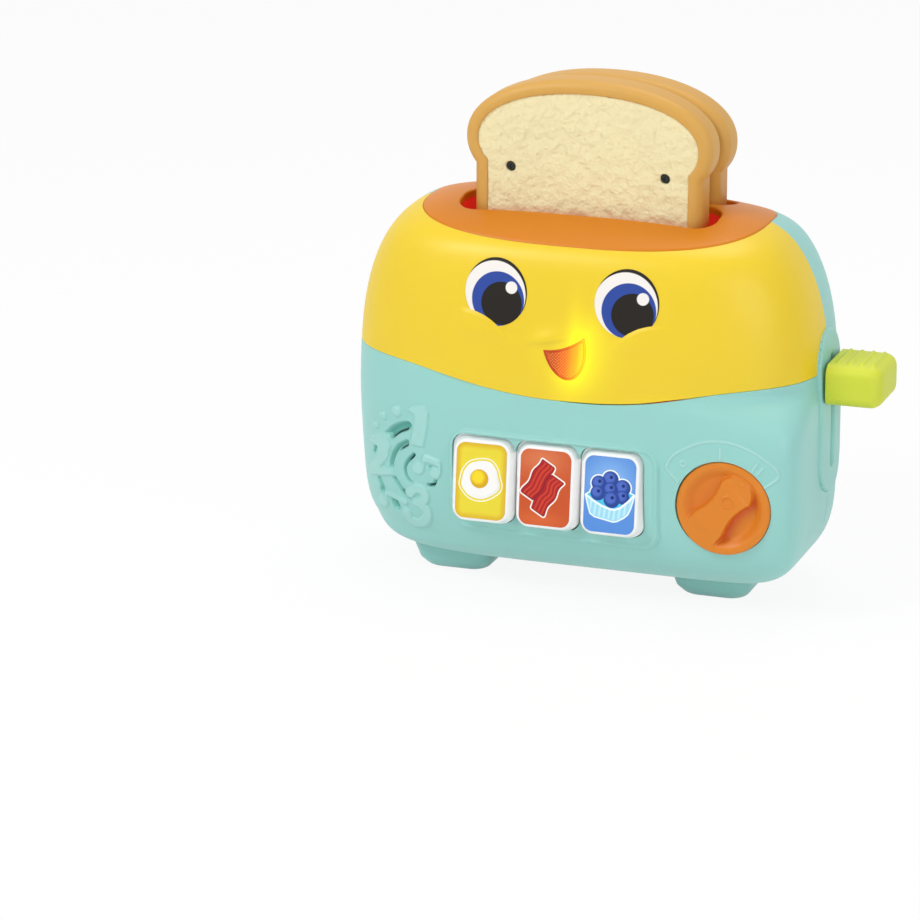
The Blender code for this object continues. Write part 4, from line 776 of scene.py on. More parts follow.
# The raised outline over the dial, its ring and its strokes
fan_line = [(56.4, 66.0), (51.9, 70.4), (51.2, 73.6), (54.8, 78.9), (64.0, 84.2), (73.2, 86.6), (82.4,
            86.0), (91.6, 82.6), (98.3, 77.9), (101.6, 74.5), (101.4, 71.4), (95.4, 66.6)]
dial_strokes = [([(75.6, 83.4), (75.7, 78.9)], 1.0), ([(92.4, 77.8), (90.3, 74.2)], 1.0), ([(95.1, 76.1),
                (92.8, 72.9)], 1.0)]


def dial_marks(p):
    """The raised line over the dial, its small ring and its short strokes."""
    line = stroke_field(p, soft_curve(fan_line, 6), 0.9)
    ring = np.abs(np.linalg.norm(p - [58.6, 74.7], axis=-1) - 1.25) - 0.42
    return np.minimum(np.minimum(line, ring), strokes(p, dial_strokes))


def opening_walls():
    """Walls that run back from the edges of the caps' openings and of the dial's seat."""
    walls = []
    outlines = [round_outline((x, button_height), (button_half_base[0] + 0.3, button_half_base[1] + 0.35),
                              button_corner + 0.2, sides=10)
                for x in button_centres.values()]
    turns = np.linspace(0, 2 * math.pi, 97)[:-1]
    outlines.append(knob_centre + dial_seat * np.stack([np.cos(turns), np.sin(turns)], -1))
    for outline in outlines:
        rim = on_front(outline[:, 0], outline[:, 1], bezel_height(outline) - 0.05)
        back = rim.copy()
        back[:, 1] = -46.0
        points = np.concatenate([rim, back])
        quads = grid_quads(2, len(outline), wrap=True)
        middle = points[quads].mean(1)[:, [0, 2]]
        walls.append((points, quads[holes_field(middle) > -0.06]))
    return walls


def make_front_shell():
    """The lower front: rows of constant height up to 90 mm, then rows that spread up to the seam."""
    turn = front_columns()
    base = lower_heights(22.0)
    middle = spread(22.0, 90.0, lambda z: np.full_like(z, 0.46))[1:]
    top = seam_at(turn, -seam_gap / 2 - lip_radius)
    share = np.linspace(0, 1, 22)[1:, None]
    heights = np.concatenate([np.repeat(np.concatenate([base, middle])[:, None], len(turn), 1),
                              90.0 * (1 - share) + top * share])
    points = body_points(turn[None, :], heights)
    normal = grid_normals(points)
    flat = points[..., [0, 2]]
    front = smooth(-points[..., 1], 12, 20)
    marks, dots, low, slit = sound_marks(flat)
    fan = dial_marks(flat)
    height = bezel_height(flat)
    height = height + 1.0 * (1 - smooth(marks, -0.8, 0.2)) + 1.3 * np.sqrt(np.clip(-dots / 1.6, 0, 1))
    height = height - 1.8 * (1 - smooth(low, -0.7, 0.2)) - 2.2 * (1 - smooth(slit, -0.3, 0.25))
    height = height + 0.6 * (1 - smooth(fan, -0.35, 0.28))
    points = points + normal * (height * front)[..., None]
    paint = evenly(turquoise_code, flat.shape[0] * flat.shape[1])
    shown = front.ravel()
    # Painted shade: groove floors a deeper teal, deepest where they are deep, and the slits near black
    paint = mix(paint, colour("#7fc9bd"), (0.8 * (1 - smooth(low, -0.5, 0.3))).ravel() * shown)
    paint = mix(paint, colour("#2f9587"), (0.75 * (1 - smooth(low, -1.4, -0.4))).ravel() * shown)
    paint = mix(paint, colour("#0c1f1c"), (1 - smooth(slit, -0.3, 0.25)).ravel() * shown)
    # Painted highlights: the raised line over the dial and the raised marks and dots made lighter
    paint = mix(paint, colour("#b4dfd9"), (0.8 * (1 - smooth(fan, -0.5, 0.2))).ravel() * shown)
    raised = np.minimum(marks + 0.4, dots + 0.3)
    paint = mix(paint, colour("#b4dfd9"), (0.3 * (1 - smooth(raised, -0.5, 0.2))).ravel() * shown)
    field = np.where(points[..., 1] < -20, holes_field(flat), 9.0)
    near = (np.abs(field) < 0.3) & (points[..., 1] < -20)
    onto_outline(points, normal, near, holes_field, -1)
    rows = len(points)
    points = lips(points, [-1])
    paint = paint.reshape(rows, -1, 3)
    paint = np.concatenate([paint, np.repeat(paint[-1:], len(points) - rows, 0)])
    quads = grid_quads(*points.shape[:2])
    flat = points.reshape(-1, 3)
    centre = flat[quads].mean(1)
    cut = (holes_field(centre[:, [0, 2]]) < 0) & (centre[:, 1] < -20)
    quads = face_outwards(flat, quads[~cut], body_middle)
    parts, paints = [(flat, quads)], [paint.reshape(-1, 3)]
    for points, quads in opening_walls():
        parts.append((points, quads))
        paints.append(evenly(turquoise_code, len(points)))
    for x in (-20.05, 10.45):
        for z in (74.6, 40.8):
            place = np.array([x, z])
            grid = np.stack(np.meshgrid(x + np.linspace(-4.5, 4.5, 61), z + np.linspace(-4.5, 4.5, 61)), -1)
            flat, faces = trimmed(grid, lambda p: np.maximum(0.02 - window_field(p),
                                                                box_field(p, place, (4.2, 4.2), 0.1)))
            points = on_front(flat[:, 0], flat[:, 1], bezel_height(flat) - 0.03)
            parts.append((points, face_outwards(points, faces, body_middle)))
            paints.append(evenly(turquoise_code, len(points)))
    return piece("front_shell_skin", parts, finishes["turquoise_with_painted_light"], "housing", ["front_shell"],
                 colours=np.concatenate(paints))


cheeks = ((-46.3, 110.6), (46.3, 110.6))
cheek_radius = 26.1


def face_relief(p):
    """Round cheeks whose upper edges rise over the eyes, and a small soft bump left of the mouth."""
    height = np.zeros(p.shape[:-1])
    for x, z in cheeks:
        r = np.linalg.norm(p - np.array([x, z]), axis=-1)
        near_eye = smooth(p[..., 1], 120, 128) * (1 - smooth(np.abs(p[..., 0]), 43, 51))
        height = height + 0.8 * near_eye * (1 - smooth(r, cheek_radius - 2.4, cheek_radius + 0.3))
        height = height + 1.1 * np.maximum(1 - (r / cheek_radius) ** 2, 0) ** 1.5
    across = (p[..., 0] + 5.5) / 8.0
    rise = p[..., 1] - 126.0 - 1.6 * across
    return height + 1.8 * np.exp(-across ** 2 - (rise / np.where(rise > 0, 4.4, 2.1)) ** 2)


def glow_at(p):
    """Painted light: how strongly the lit mouth's glow is painted onto the panel, an edge round the lens and
    a faint upright band.
    """
    f = polygon_field(p, mouth_outline())
    side = smooth(p[..., 0] - 0.25 * (p[..., 1] - 118), -7, 11)
    ring = 0.85 * np.exp(-(np.maximum(f, 0) / 8.0) ** 1.2) * (0.2 + 0.8 * side)
    over = np.maximum(p[..., 1] - 126, 0)
    band = 0.35 * np.exp(-((p[..., 0] - 7.0) / 3.4) ** 2) * np.exp(-(over / 16) ** 2)
    return np.clip(ring + band * smooth(p[..., 1], 118, 130), 0, 1)


def make_face_panel():
    """The yellow upper front, from the seam to the top trim."""
    turn = front_columns()[::2]
    low = seam_at(turn, seam_gap / 2 + lip_radius)
    high = trim_at(turn, 0.15 + lip_radius)
    points = even_rows(turn, low, high, 170)
    normal = grid_normals(points)
    flat = points[..., [0, 2]]
    front = smooth(-points[..., 1], 20, 32)
    points = points + normal * (face_relief(flat) * front)[..., None]
    # Painted light: the mouth's glow painted into the panel's colour, and into its alpha as a faint glow
    glow = (glow_at(flat) * front).ravel()
    paint = evenly("#eccb20", len(glow))
    paint = mix(paint, colour("#fff200"), 0.95 * glow)
    paint = np.concatenate([paint, 0.3 * glow[:, None] ** 1.5], 1)
    rows = len(points)
    points = lips(points, [0, -1])
    extra = (len(points) - rows) // 2
    paint = paint.reshape(rows, -1, 4)
    paint = np.concatenate([np.repeat(paint[:1], extra, 0), paint, np.repeat(paint[-1:], extra, 0)])
    quads = face_outwards(points.reshape(-1, 3), grid_quads(*points.shape[:2]), body_middle)
    return piece("face_panel_skin", [(points.reshape(-1, 3), quads)], finishes["yellow_with_painted_glow"], "housing",
                 ["face_panel"],
                 colours=paint.reshape(-1, 4))


rear_screws = ((-92.0, 30.0), (92.0, 30.0), (-92.0, 128.0), (92.0, 128.0))
door_middle = (0.0, 54.0)
door_half = (28.4, 28.2)


def rear_field(p):
    """Below zero in the battery door's opening and in the four screw wells."""
    wells = [np.linalg.norm(p - np.array(c), axis=-1) - 3.8 for c in rear_screws]
    return np.minimum.reduce(wells + [box_field(p, door_middle, (door_half[0] + 0.15, door_half[1] + 0.15),
                                                5.0)])


def make_rear_shell():
    """The whole rear half, from the base to the top trim, less the battery door and the screw wells."""
    turn = np.linspace(0, math.pi, 331)
    base = lower_heights(22.0)
    middle = np.linspace(22.0, 90.0, 110)[1:]
    upper = even_rows(turn, np.full_like(turn, 90.0), trim_at(turn, seam_gap / 2 + lip_radius), 132)[1:]
    lower = body_points(turn[None, :], np.repeat(np.concatenate([base, middle])[:, None], len(turn), 1))
    points = np.concatenate([lower, upper])
    normal = grid_normals(points)
    back = points[..., 1] > 12
    near = (np.abs(rear_field(points[..., [0, 2]])) < 0.5) & back
    onto_outline(points, normal, near, rear_field, 1)
    points = lips(points, [-1])
    flat = points.reshape(-1, 3)
    quads = grid_quads(*points.shape[:2])
    centre = flat[quads].mean(1)
    cut = (rear_field(centre[:, [0, 2]]) < 0) & (centre[:, 1] > 12)
    quads = face_outwards(flat, quads[~cut], body_middle)
    parts = [(flat, quads)]
    turns = np.linspace(0, 2 * math.pi, 49)[:-1]
    for x, z in rear_screws:
        rings = []
        half_width, half_depth = half_sizes(z + 3.8 * np.sin(turns))
        across = np.abs(x + 3.8 * np.cos(turns))
        top = half_depth * np.maximum(1 - (across / half_width) ** plan_power, 0) ** (1 / plan_power)
        for level in (top, np.full(48, 5.4)):
            rings.append(np.stack([x + 3.8 * np.cos(turns), level, z + 3.8 * np.sin(turns)], -1))
        well = np.array(rings)
        parts.append((well.reshape(-1, 3), grid_quads(2, 48, wrap=True)))
    piece("rear_shell_skin", parts, finishes["turquoise"], "housing", ["rear_shell"])


def slots_field(p):
    """The two slots for the slices."""
    return np.minimum(*[box_field(p, (0, y), (slot_half_length, slot_half_width),
                                  slot_corner) for y in slot_centres])


def trim_field(p):
    """The top trim's outline, less the two slots."""
    return np.maximum(superellipse_field(p, (trim_half_width, trim_half_depth), trim_power),
                      -slots_field(p))


def outline_out(p):
    """Flat directions that lead out of the trim's outline: the field's slope."""
    step = 0.05
    slope = np.stack([trim_field(p + [step, 0]) - trim_field(p - [step, 0]),
                      trim_field(p + [0, step]) - trim_field(p - [0, step])], -1)
    return slope / np.maximum(np.linalg.norm(slope, axis=-1, keepdims=True), 1e-9)


def open_edges(faces, count):
    """The edges that belong to one face only."""
    edges = np.concatenate([faces[:, [0, 1]], faces[:, [1, 2]], faces[:, [2, 0]]])
    key = np.sort(edges, 1) @ np.array([count, 1])
    _, index, times = np.unique(key, return_index=True, return_counts=True)
    return edges[index[times == 1]]


def make_top_trim():
    """The orange top: the dome inside its outline, less two slots, with its edges rolled over and down."""
    x = spread(-82.0, 82.0, lambda v: np.full_like(v, 0.7))
    y = spread(-50.0, 50.0, lambda v: np.full_like(v, 0.55))
    flat, faces = trimmed(np.stack(np.meshgrid(x, y), -1), lambda p: trim_field(p) + trim_lip)
    points = np.concatenate([flat, (dome_height(flat[:, 0], flat[:, 1]) + trim_proud)[:, None]], 1)
    corner = np.cross(points[faces[:, 1]] - points[faces[:, 0]], points[faces[:, 2]] - points[faces[:, 0]])
    faces = faces if corner[:, 2].sum() > 0 else faces[:, ::-1]
    edges = open_edges(faces, len(points))
    rim = np.unique(edges)
    out = outline_out(flat[rim])
    slope_x = (dome_height(flat[:, 0] + 0.2, flat[:, 1]) - dome_height(flat[:, 0] - 0.2, flat[:, 1])) / 0.4
    slope_y = (dome_height(flat[:, 0], flat[:, 1] + 0.2) - dome_height(flat[:, 0], flat[:, 1] - 0.2)) / 0.4
    up = np.stack([-slope_x, -slope_y, np.ones_like(slope_x)], -1)
    up /= np.linalg.norm(up, axis=-1, keepdims=True)
    sideways = np.concatenate([out, np.zeros((len(out), 1))], 1)
    normals = [up]
    layers = []
    for turn in np.radians([4, 15, 30, 45, 60, 75, 90]):
        normals.append(math.sin(turn) * sideways + math.cos(turn) * up[rim])
        flat_out = trim_lip * math.sin(turn) * out
        level = dome_height(*(flat[rim] + flat_out).T) + trim_proud - points[rim, 2]
        drop = level - trim_lip * (1 - math.cos(turn))
        layers.append(lambda p, shift=np.concatenate([flat_out, drop[:, None]], 1): shift)
    end = layers[-1](None)
    layers.append(lambda p: end + [0, 0, -slot_wall])
    normals = np.concatenate(normals + [sideways])
    normals /= np.linalg.norm(normals, axis=-1, keepdims=True)
    points, faces = skirt(points, faces, edges, layers)
    return piece("top_trim_skin", [(points, faces)], finishes["orange"], "housing", ["top_trim"],
                 normals=normals)


def foot_rings(side):
    """A flared foot: rounded rectangles that widen upwards, with a round lower edge and a bulge over it."""
    middle = side * (foot_inner + foot_width / 2)
    rings = []
    for height, inset in [(0, 1.6), (0.25, 0.8), (0.8, 0.25),
                          (1.6, 0)] + [(h, 0) for h in (3, 4.5, 6, 9, foot_top, 17)]:
        flare = np.interp(height, [0, foot_bulge_height, foot_top, 17],
                          [0, foot_bulge, foot_flare, foot_flare + 1.0])
        half = (foot_width / 2 + flare - inset, foot_half_length + flare - inset)
        outline = round_outline((middle, 0), half, foot_flare - inset + 1.5, sides=8)
        rings.append(np.concatenate([outline, np.full((len(outline), 1), height)], 1))
    return np.array(rings)


def make_feet():
    """The feet, each built whole; on the toy each is a half on the front shell and a half on the rear shell.
    """
    parts = [loft(foot_rings(side)) for side in (-1, 1)]
    return piece("feet_skin", parts, finishes["turquoise"], "housing", (), crease=40)


def make_button(name, x):
    """A cap: rounded rectangles from the back to the waist, then in to the leaning face over a soft edge."""
    half_base, half_face = np.array(button_half_base), np.array(button_half_face)
    radius = 1.7
    half_face = half_face + 0.45
    stages = [(half_base, button_corner, button_length, 0),
              (half_base, button_corner, button_waist + 0.4, 0),
              (half_base - 0.15, button_corner, button_waist - 0.4, 0.5),
              (half_base - 0.5, button_corner, button_waist - 1.2, 1)]
    for turn in np.radians(np.linspace(0, 90, 8)):
        shrink = radius * (1 - math.cos(turn))
        stages.append((half_face - shrink, button_corner - shrink, radius * (1 - math.sin(turn)), 1))
    rings = []
    for half, corner, level, lean in stages:
        outline = round_outline((0, 0), half, corner, sides=8)
        y = -button_face_depth + level + lean * math.tan(button_lean) * outline[:, 1]
        rings.append(np.stack([x + outline[:, 0], y, button_height + outline[:, 1]], -1))
    return piece(f"{name}_button_skin", [loft(rings)], finishes["white"], f"{name}_cap", [f"{name}_button"],
                 crease=50)


def mix(base, over, amount):
    """A colour laid over others by an amount for each point."""
    return base * (1 - amount[:, None]) + np.array(over[:3]) * amount[:, None]


def cover(field, soft=0.09):
    """1 inside an outline and 0 outside, with a soft edge."""
    return 1 - smooth(field, -soft, soft)


def along_across(p, start, end):
    """Distances along and across a line from its middle, and its length."""
    start, end = np.array(start), np.array(end)
    length = np.linalg.norm(end - start)
    way = (end - start) / length
    q = p - (start + end) / 2
    return q @ way, q @ np.array([way[1], -way[0]]), length


egg_outline = [(0.4, 10.6), (5.2, 9.9), (8.2, 6.2), (9.2, 2.6), (10.3, -1.2), (8.8, -4.9), (3.5, -8.4),
               (-1.2, -9.3), (-5.5, -8.2), (-8.3, -5.9), (-10.4, -2.6), (-10.1, 0.9), (-9.0, 4.9), (-5.6,
               8.9)]


def egg_drawing(p):
    """A fried egg on yellow: a white with a line round it, and a yolk that is lighter at the upper left."""
    base = evenly("#e9d63c", len(p))
    edge = smooth(box_field(p, (0, 0), label_half, label_corner), -3.4, 0.0)
    base = mix(base, colour("#dcae2c"), 0.85 * edge)
    f = polygon_field(p, soft_curve(egg_outline, 8, closed=True))
    base = mix(base, colour("#fffef4"), cover(np.abs(f + 0.1) - 0.22))
    base = mix(base, colour("#f4f3f1"), cover(f + 1.15))
    base = mix(base, colour("#dcdad6"), 0.5 * cover(f + 1.15) * smooth(f, -3.0, -1.2)
               * smooth(p[:, 0] - p[:, 1], 0, 12))
    yolk = np.linalg.norm(p - [-0.8, 1.1], axis=-1) - 4.35
    base = mix(base, colour("#d9a820"), cover(yolk))
    base = mix(base, colour("#f5d92e"), cover(np.linalg.norm(p - [-1.5, 1.8], axis=-1) - 3.1, 1.1)
               * cover(yolk))
    return base


strip_lines = (((1.2, 11.6), (-8.2, -4.7)), ((5.8, 5.0), (-3.6, -11.3)))


def strips_drawing(p):
    """Two wavy strips on orange, their tops leaning to the right, with a white line round both."""
    base = evenly("#c9562d", len(p))
    base = mix(base, colour("#dd8055"), 0.8 * np.exp(-(((p[:, 0] + 2) / 12) ** 2
                                                       + ((p[:, 1] - 13) / 7) ** 2)))
    base = mix(base, colour("#e0703c"), 0.6 * np.exp(-(((p[:, 0] + 2) / 12) ** 2
                                                       + ((p[:, 1] + 15) / 4) ** 2)))
    drawn = []
    for start, end in strip_lines:
        along, across, length = along_across(p, start, end)
        across = across + 0.45 * np.sin((p @ np.array([-0.5, -0.866])) * 0.62 + 0.6)
        drawn.append((along, across, box_field(np.stack([across, along], -1), (0, 0), (3.68, length / 2),
                                               0.8)))
    both = np.minimum(drawn[0][2], drawn[1][2])
    base = mix(base, colour("#fff3ea"), cover(both - 0.62))
    for along, across, f in drawn:
        base = mix(base, colour("#8e1f28"), cover(f))
        base = mix(base, colour("#b0242a"), cover(f + 0.5))
        for middle, width in ((-2.1, 0.42), (-0.3, 0.5), (1.7, 0.4)):
            ribbon = np.abs(across - middle - 0.2 * np.sin(along * 0.9)) - width
            base = mix(base, colour("#cc442c"), cover(ribbon, 0.2) * cover(f + 0.6))
    return base


basket_edge = [(-11.0, -0.9), (-8.0, -3.0), (-3.6, -5.2), (0.4, -6.4), (2.6, -6.5), (5.2, -5.4), (8.6,
               -2.4), (11.4, 0.8)]
basket_rim = basket_edge + [(5.0, 3.4), (0.0, 4.6), (-6.0, 2.6)]
basket_side = basket_edge + [(9.8, -5.2), (8.7, -7.8), (6.8, -9.6), (3.8, -11.4), (2.0, -11.8),
                             (-6.6, -10.2), (-8.6, -9.0), (-9.8, -5.4)]
berry_spots = (((0.2, 7.2), 3.7), ((-5.2, 4.9), 3.5), ((6.0, 3.8), 3.7), ((0.4, 2.6), 3.3), ((-5.6, 0.4),
               3.4), ((6.2, -0.6), 3.2), ((1.0, -2.0), 3.8))


def berries_drawing(p):
    """Round berries heaped in a pale ribbed basket on blue, with a white line round all."""
    base = evenly("#5a90dc", len(p))
    base = mix(base, colour("#8fbdf0"), 0.85 * np.exp(-((p[:, 0] / 10) ** 2 + ((p[:, 1] - 6) / 10) ** 2)))
    rim, side = polygon_field(p, basket_rim), polygon_field(p, basket_side)
    berries = [np.linalg.norm(p - np.array(c), axis=-1) - r for c, r in berry_spots]
    everything = np.minimum(np.minimum(side, rim), np.minimum.reduce(berries))
    base = mix(base, colour("#f2fbff"), cover(everything - 0.6))
    base = mix(base, colour("#4fc3ea"), cover(rim))
    for f, ((cx, cy), r) in zip(berries, berry_spots):
        base = mix(base, colour("#2c4796"), cover(f))
        light = np.linalg.norm(p - np.array([cx - 0.6, cy + 0.6]), axis=-1) - 0.66 * r
        base = mix(base, colour("#4f6cc4"), cover(light, 0.9) * cover(f + 0.3))
        star = np.linalg.norm(p - np.array([cx + 0.3, cy + 0.9]), axis=-1) - 0.8
        base = mix(base, colour("#1f2f6e"), cover(star, 0.25) * cover(f + 0.3))
    base = mix(base, colour("#9fdcf2"), cover(side))
    ribs = np.abs((p[:, 0] - 0.12 * p[:, 1]) % 2.3 - 1.15) - 0.42
    base = mix(base, colour("#c3ecf9"), cover(ribs, 0.2) * cover(side + 0.5))
    edge = stroke_field(p, basket_edge, 0.9)
    return mix(base, colour("#f4fcff"), cover(edge))


def make_label(name, x, drawing):
    """A thin printed sheet on the leaning face."""
    a = np.linspace(-label_half[0] - 0.2, label_half[0] + 0.2, 170)
    b = np.linspace(-label_half[1] - 0.2, label_half[1] + 0.2, 240)
    flat, faces = trimmed(np.stack(np.meshgrid(a, b), -1),
                                 lambda p: box_field(p, (0, 0), label_half, label_corner))
    y = -button_face_depth - 0.12 + math.tan(button_lean) * flat[:, 1]
    points = np.stack([x + flat[:, 0], y, button_height + flat[:, 1]], -1)
    faces = face_outwards(points, faces, np.array([x, 0, button_height]))
    return piece(f"{name}_label_print", [(points, faces)], finishes["uses_print_and_light_layer"], f"{name}_cap",
                 [f"{name}_label"],
                 colours=drawing(flat))


grip_angle = math.radians(51)


def grip_field(x, z):
    """Nearly the distance to the grip's outline: a waisted bar, round at its upper end."""
    along = x * math.cos(grip_angle) + z * math.sin(grip_angle)
    across = -x * math.sin(grip_angle) + z * math.cos(grip_angle) - 0.3
    half = 6.5 + 2.0 * np.minimum(np.abs(along) / 10, 1) ** 1.7
    end = np.hypot(np.maximum(along - 8.6, 0) / 8.4, across / 8.5) * 8.45 - 8.45
    return np.where(along > 8.6, end, np.abs(across) - half), along, across


def make_dial():
    """A disc with a round rim, dished, with a waisted grip that points to the second mark."""
    turn = np.linspace(0, 2 * math.pi, 481)[:-1]
    edge_radius = 1.5
    rim = dial_radius - edge_radius
    radii = np.concatenate([np.linspace(0.01, rim, 110), rim
                            + edge_radius * np.sin(np.radians([15, 30, 45, 60, 75, 90]))])
    r, t = np.meshgrid(radii, turn, indexing="ij")
    x, z = r * np.cos(t), r * np.sin(t)
    over = np.maximum(r - rim, 0)
    level = -(edge_radius - np.sqrt(np.maximum(edge_radius ** 2 - over ** 2, 0)))
    dish = 3.6 * (1 - smooth(r, 13.5, 19.4)) * (0.7 + 0.3 * smooth(x - z, -10, 16))
    grip, along, across = grip_field(x, z)
    up = 1 - smooth(grip, -0.9, 0.7)
    top = 0.9 * (1 - smooth(along + 0.035 * across ** 2, 9.6, 11.4)) * (1 - smooth(-along, 11, 17))
    height = level - dish * (1 - up) + (0.1 + top) * up * (1 - smooth(r, 17.5, 19.5))
    ring = np.hypot(along - 4.5, across)
    height = height + 0.4 * np.exp(-((ring - 2.6) / 0.45) ** 2) - 0.25 * (1 - smooth(ring, 1.8, 2.5))
    nub = np.hypot(along - 15.2, across)
    height = height + 0.7 * np.exp(-(nub / 1.2) ** 2)
    face = np.stack([dial_x + x, -dial_face - height, dial_height + z], -1)
    rings = [face]
    for depth in (edge_radius + 0.1, dial_thickness):
        rings.append(np.stack([dial_x + dial_radius * np.cos(turn), np.full_like(turn, -dial_face + depth),
                               dial_height + dial_radius * np.sin(turn)], -1)[None])
    points = np.concatenate(rings)
    quads = face_outwards(points.reshape(-1, 3), grid_quads(len(points), len(turn), wrap=True),
                          np.array([dial_x, -dial_face + 8, dial_height]))
    # Painted shade: the dish darker where it is deep, a painted shadow along the grip's lower right side, and
    # the dish's upper left a little darker
    shade = (dish * (1 - up) / 3.6).ravel()
    paint = evenly("#dc8120", shade.size)
    paint = mix(paint, colour("#cc4a20"), 0.85 * shade * (smooth(-grip, -5.0, 0)
                                                          * smooth(x - z, -2, 12)).ravel())
    paint = mix(paint, colour("#d8701f"), 0.6 * shade * smooth((z - x).ravel(), -2, 10))
    paint = np.concatenate([paint, evenly("#d67a1e", 2 * len(turn))])
    return piece("mode_dial_skin", [(points.reshape(-1, 3), quads)], finishes["orange_with_painted_shade"],
                 "mode_dial", ["mode_knob"], colours=paint)


def make_lever():
    """A block with soft edges and three ribs across its top."""
    length = lever_end - lever_start
    share = np.linspace(0, 1, 81)
    x = lever_start + length * (1 - (1 - share) ** 1.2)
    rings = []
    for place, end in zip(x, np.clip((x - (lever_end - 6)) / 6, 0, 1)):
        inset = 6 * (1 - math.sqrt(max(1 - end ** 2, 0)))
        half = (lever_half_width - inset, (lever_high - lever_low) / 2 - 0.75 * inset)
        outline = round_outline((0, (lever_low + lever_high) / 2), half, max(5 - 0.5 * inset, 0.6),
                                sides=12)
        closed = np.concatenate([outline, outline[:1]])
        run = np.concatenate([[0], np.cumsum(np.linalg.norm(np.diff(closed, axis=0), axis=-1))])
        stops = np.linspace(0, run[-1], 161)[:-1]
        outline = np.stack([np.interp(stops, run, closed[:, 0]), np.interp(stops, run, closed[:, 1])], -1)
        rings.append(np.concatenate([np.full((len(outline), 1), place), outline], 1))
    points, faces = loft(rings)
    top = smooth(points[:, 2], lever_high - 2, lever_high)
    ribs = sum(np.exp(-((points[:, 0] - c) / 1.2) ** 2) for c in (116.6, 121.8, 127.0, 132.2))
    points[:, 2] += 1.2 * ribs * top * smooth(12.5 - np.abs(points[:, 1]), 0, 2)
    return piece("lever_block_skin", [(points, faces)], finishes["lime"], "lifting_carriage",
                 ["lever_knob"], crease=50)


def slice_outline(inset, count=200):
    """A slice seen from the front: a wide superellipse above straight sides and small round lower corners."""
    neck, shoulder = slice_neck - inset, slice_shoulder - inset
    start = math.acos((neck / shoulder) ** (slice_power / 2))
    turn = np.linspace(-start, math.pi + start, count)
    rise = np.where(np.sin(turn) > 0, slice_top_rise - inset, slice_lobe_drop - inset)
    x = shoulder * signed_power(np.cos(turn), 2 / slice_power)
    z = slice_shoulder_height + rise * signed_power(np.sin(turn), 2 / slice_power)
    points = [np.stack([x, z], -1)]
    radius = 5.0
    for side, quarter in ((-1, 2), (1, 3)):
        t = math.pi / 2 * (quarter + np.linspace(0, 1, 9))
        points.append(np.stack([side * (neck - radius) + radius * np.cos(t),
                                slice_bottom + inset + radius + radius * np.sin(t)], -1))
    return np.concatenate(points) + [slice_offset, 0]


def make_slice(name, y, drop):
    """The crust, a closed band with round outer edges and a lip inside, and two crumb faces."""
    down = np.array([0, 0, -drop])
    inner = [(crust_rim, -slice_half + 1.6), (crust_rim, -slice_half + 0.7),
             (crust_rim - 0.2, -slice_half + 0.3), (crust_rim - 0.7, -slice_half + 0.05)]
    rounding = 4.2
    outer = [(rounding * (1 - math.sin(turn)), -slice_half + rounding * (1 - math.cos(turn)))
             for turn in np.radians(np.linspace(0, 90, 10))]
    front = inner + outer
    rings = []
    for inset, depth in front + [(i, -d) for i, d in front[::-1]]:
        outline = slice_outline(inset)
        rings.append(np.stack([outline[:, 0], np.full(len(outline), y + depth), outline[:, 1]], -1))
    points = np.array(rings).reshape(-1, 3)
    middle = np.array([1.0, y, 190.0])
    quads = face_outwards(points, grid_quads(len(rings), rings[0].shape[0], wrap=True), middle)
    piece(f"{name}_crust_skin", [(points + down, quads)], finishes["crust"], name, [f"{name}_crust"])
    outline = slice_outline(crust_rim - 0.1, 80)
    grid = np.stack(np.meshgrid(spread(-56, 58, lambda v: np.full_like(v, 0.6)),
                                spread(130, 240, lambda v: np.full_like(v, 0.6))), -1)
    for side, end in ((-1, "front"), (1, "back")):

        def field(p):
            inside = polygon_field(p, outline)
            holes = [2.4 - np.linalg.norm(p - np.array(c), axis=-1) for c in screw_spots]
            return np.maximum(inside, np.maximum(*holes)) if side < 0 else inside

        flat, faces = trimmed(grid, field)
        swell = 0.16 * np.sin(flat[:, 0] * 0.23) * np.sin(flat[:, 1] * 0.19 + 1)
        points = np.stack([flat[:, 0], y + side * (slice_half - 1.0 + swell), flat[:, 1]], -1)
        faces = face_outwards(points, faces, middle)
        points, faces = skirt(points, faces, open_edges(faces, len(points)),
                              [lambda p: np.array([0, -side * 1.9, 0])])
        piece(f"{name}_crumb_{end}_skin", [(points + down, faces)], finishes["crumb"], name,
              [f"{name}_crumb_{end}"])


def eye_colours(flat, centre):
    """An eye: white, a blue ring, a dark middle low and to the right, a light spot and a dark line above."""
    p = flat - np.array(centre)
    base = evenly("#f0ebe6", len(p))
    white = oval_field(p, (-0.55, -0.9), (14.7, 14.7))
    iris = np.linalg.norm(p - [1.1, -3.2], axis=-1) - 12.5
    base = mix(base, colour("#2f4a9c"), cover(iris))
    base = mix(base, colour("#201c17"), cover(np.linalg.norm(p - [2.9, -4.8], axis=-1) - 9.7))
    base = mix(base, colour("#f0ebe6"), cover(np.linalg.norm(p - [7.3, 2.7], axis=-1) - 2.75))
    return mix(base, colour("#26201a"), 1 - cover(white))


def make_eye(name, x):
    """A printed eye, laid on the panel 0.14 mm proud of it."""
    grid = np.stack(np.meshgrid(np.linspace(x - 15.2, x + 15.2, 200),
                                np.linspace(eye_height - 15.6, eye_height + 15.6, 204)), -1)
    centre = (x, eye_height)
    flat, faces = trimmed(grid, lambda p: oval_field(p, centre, eye_half))
    points = on_front(flat[:, 0], flat[:, 1], 0.14)
    faces = face_outwards(points, faces, body_middle)
    return piece(name + "_print", [(points, faces)], finishes["uses_print_and_light_layer"], "housing", [name],
                 colours=eye_colours(flat, centre))


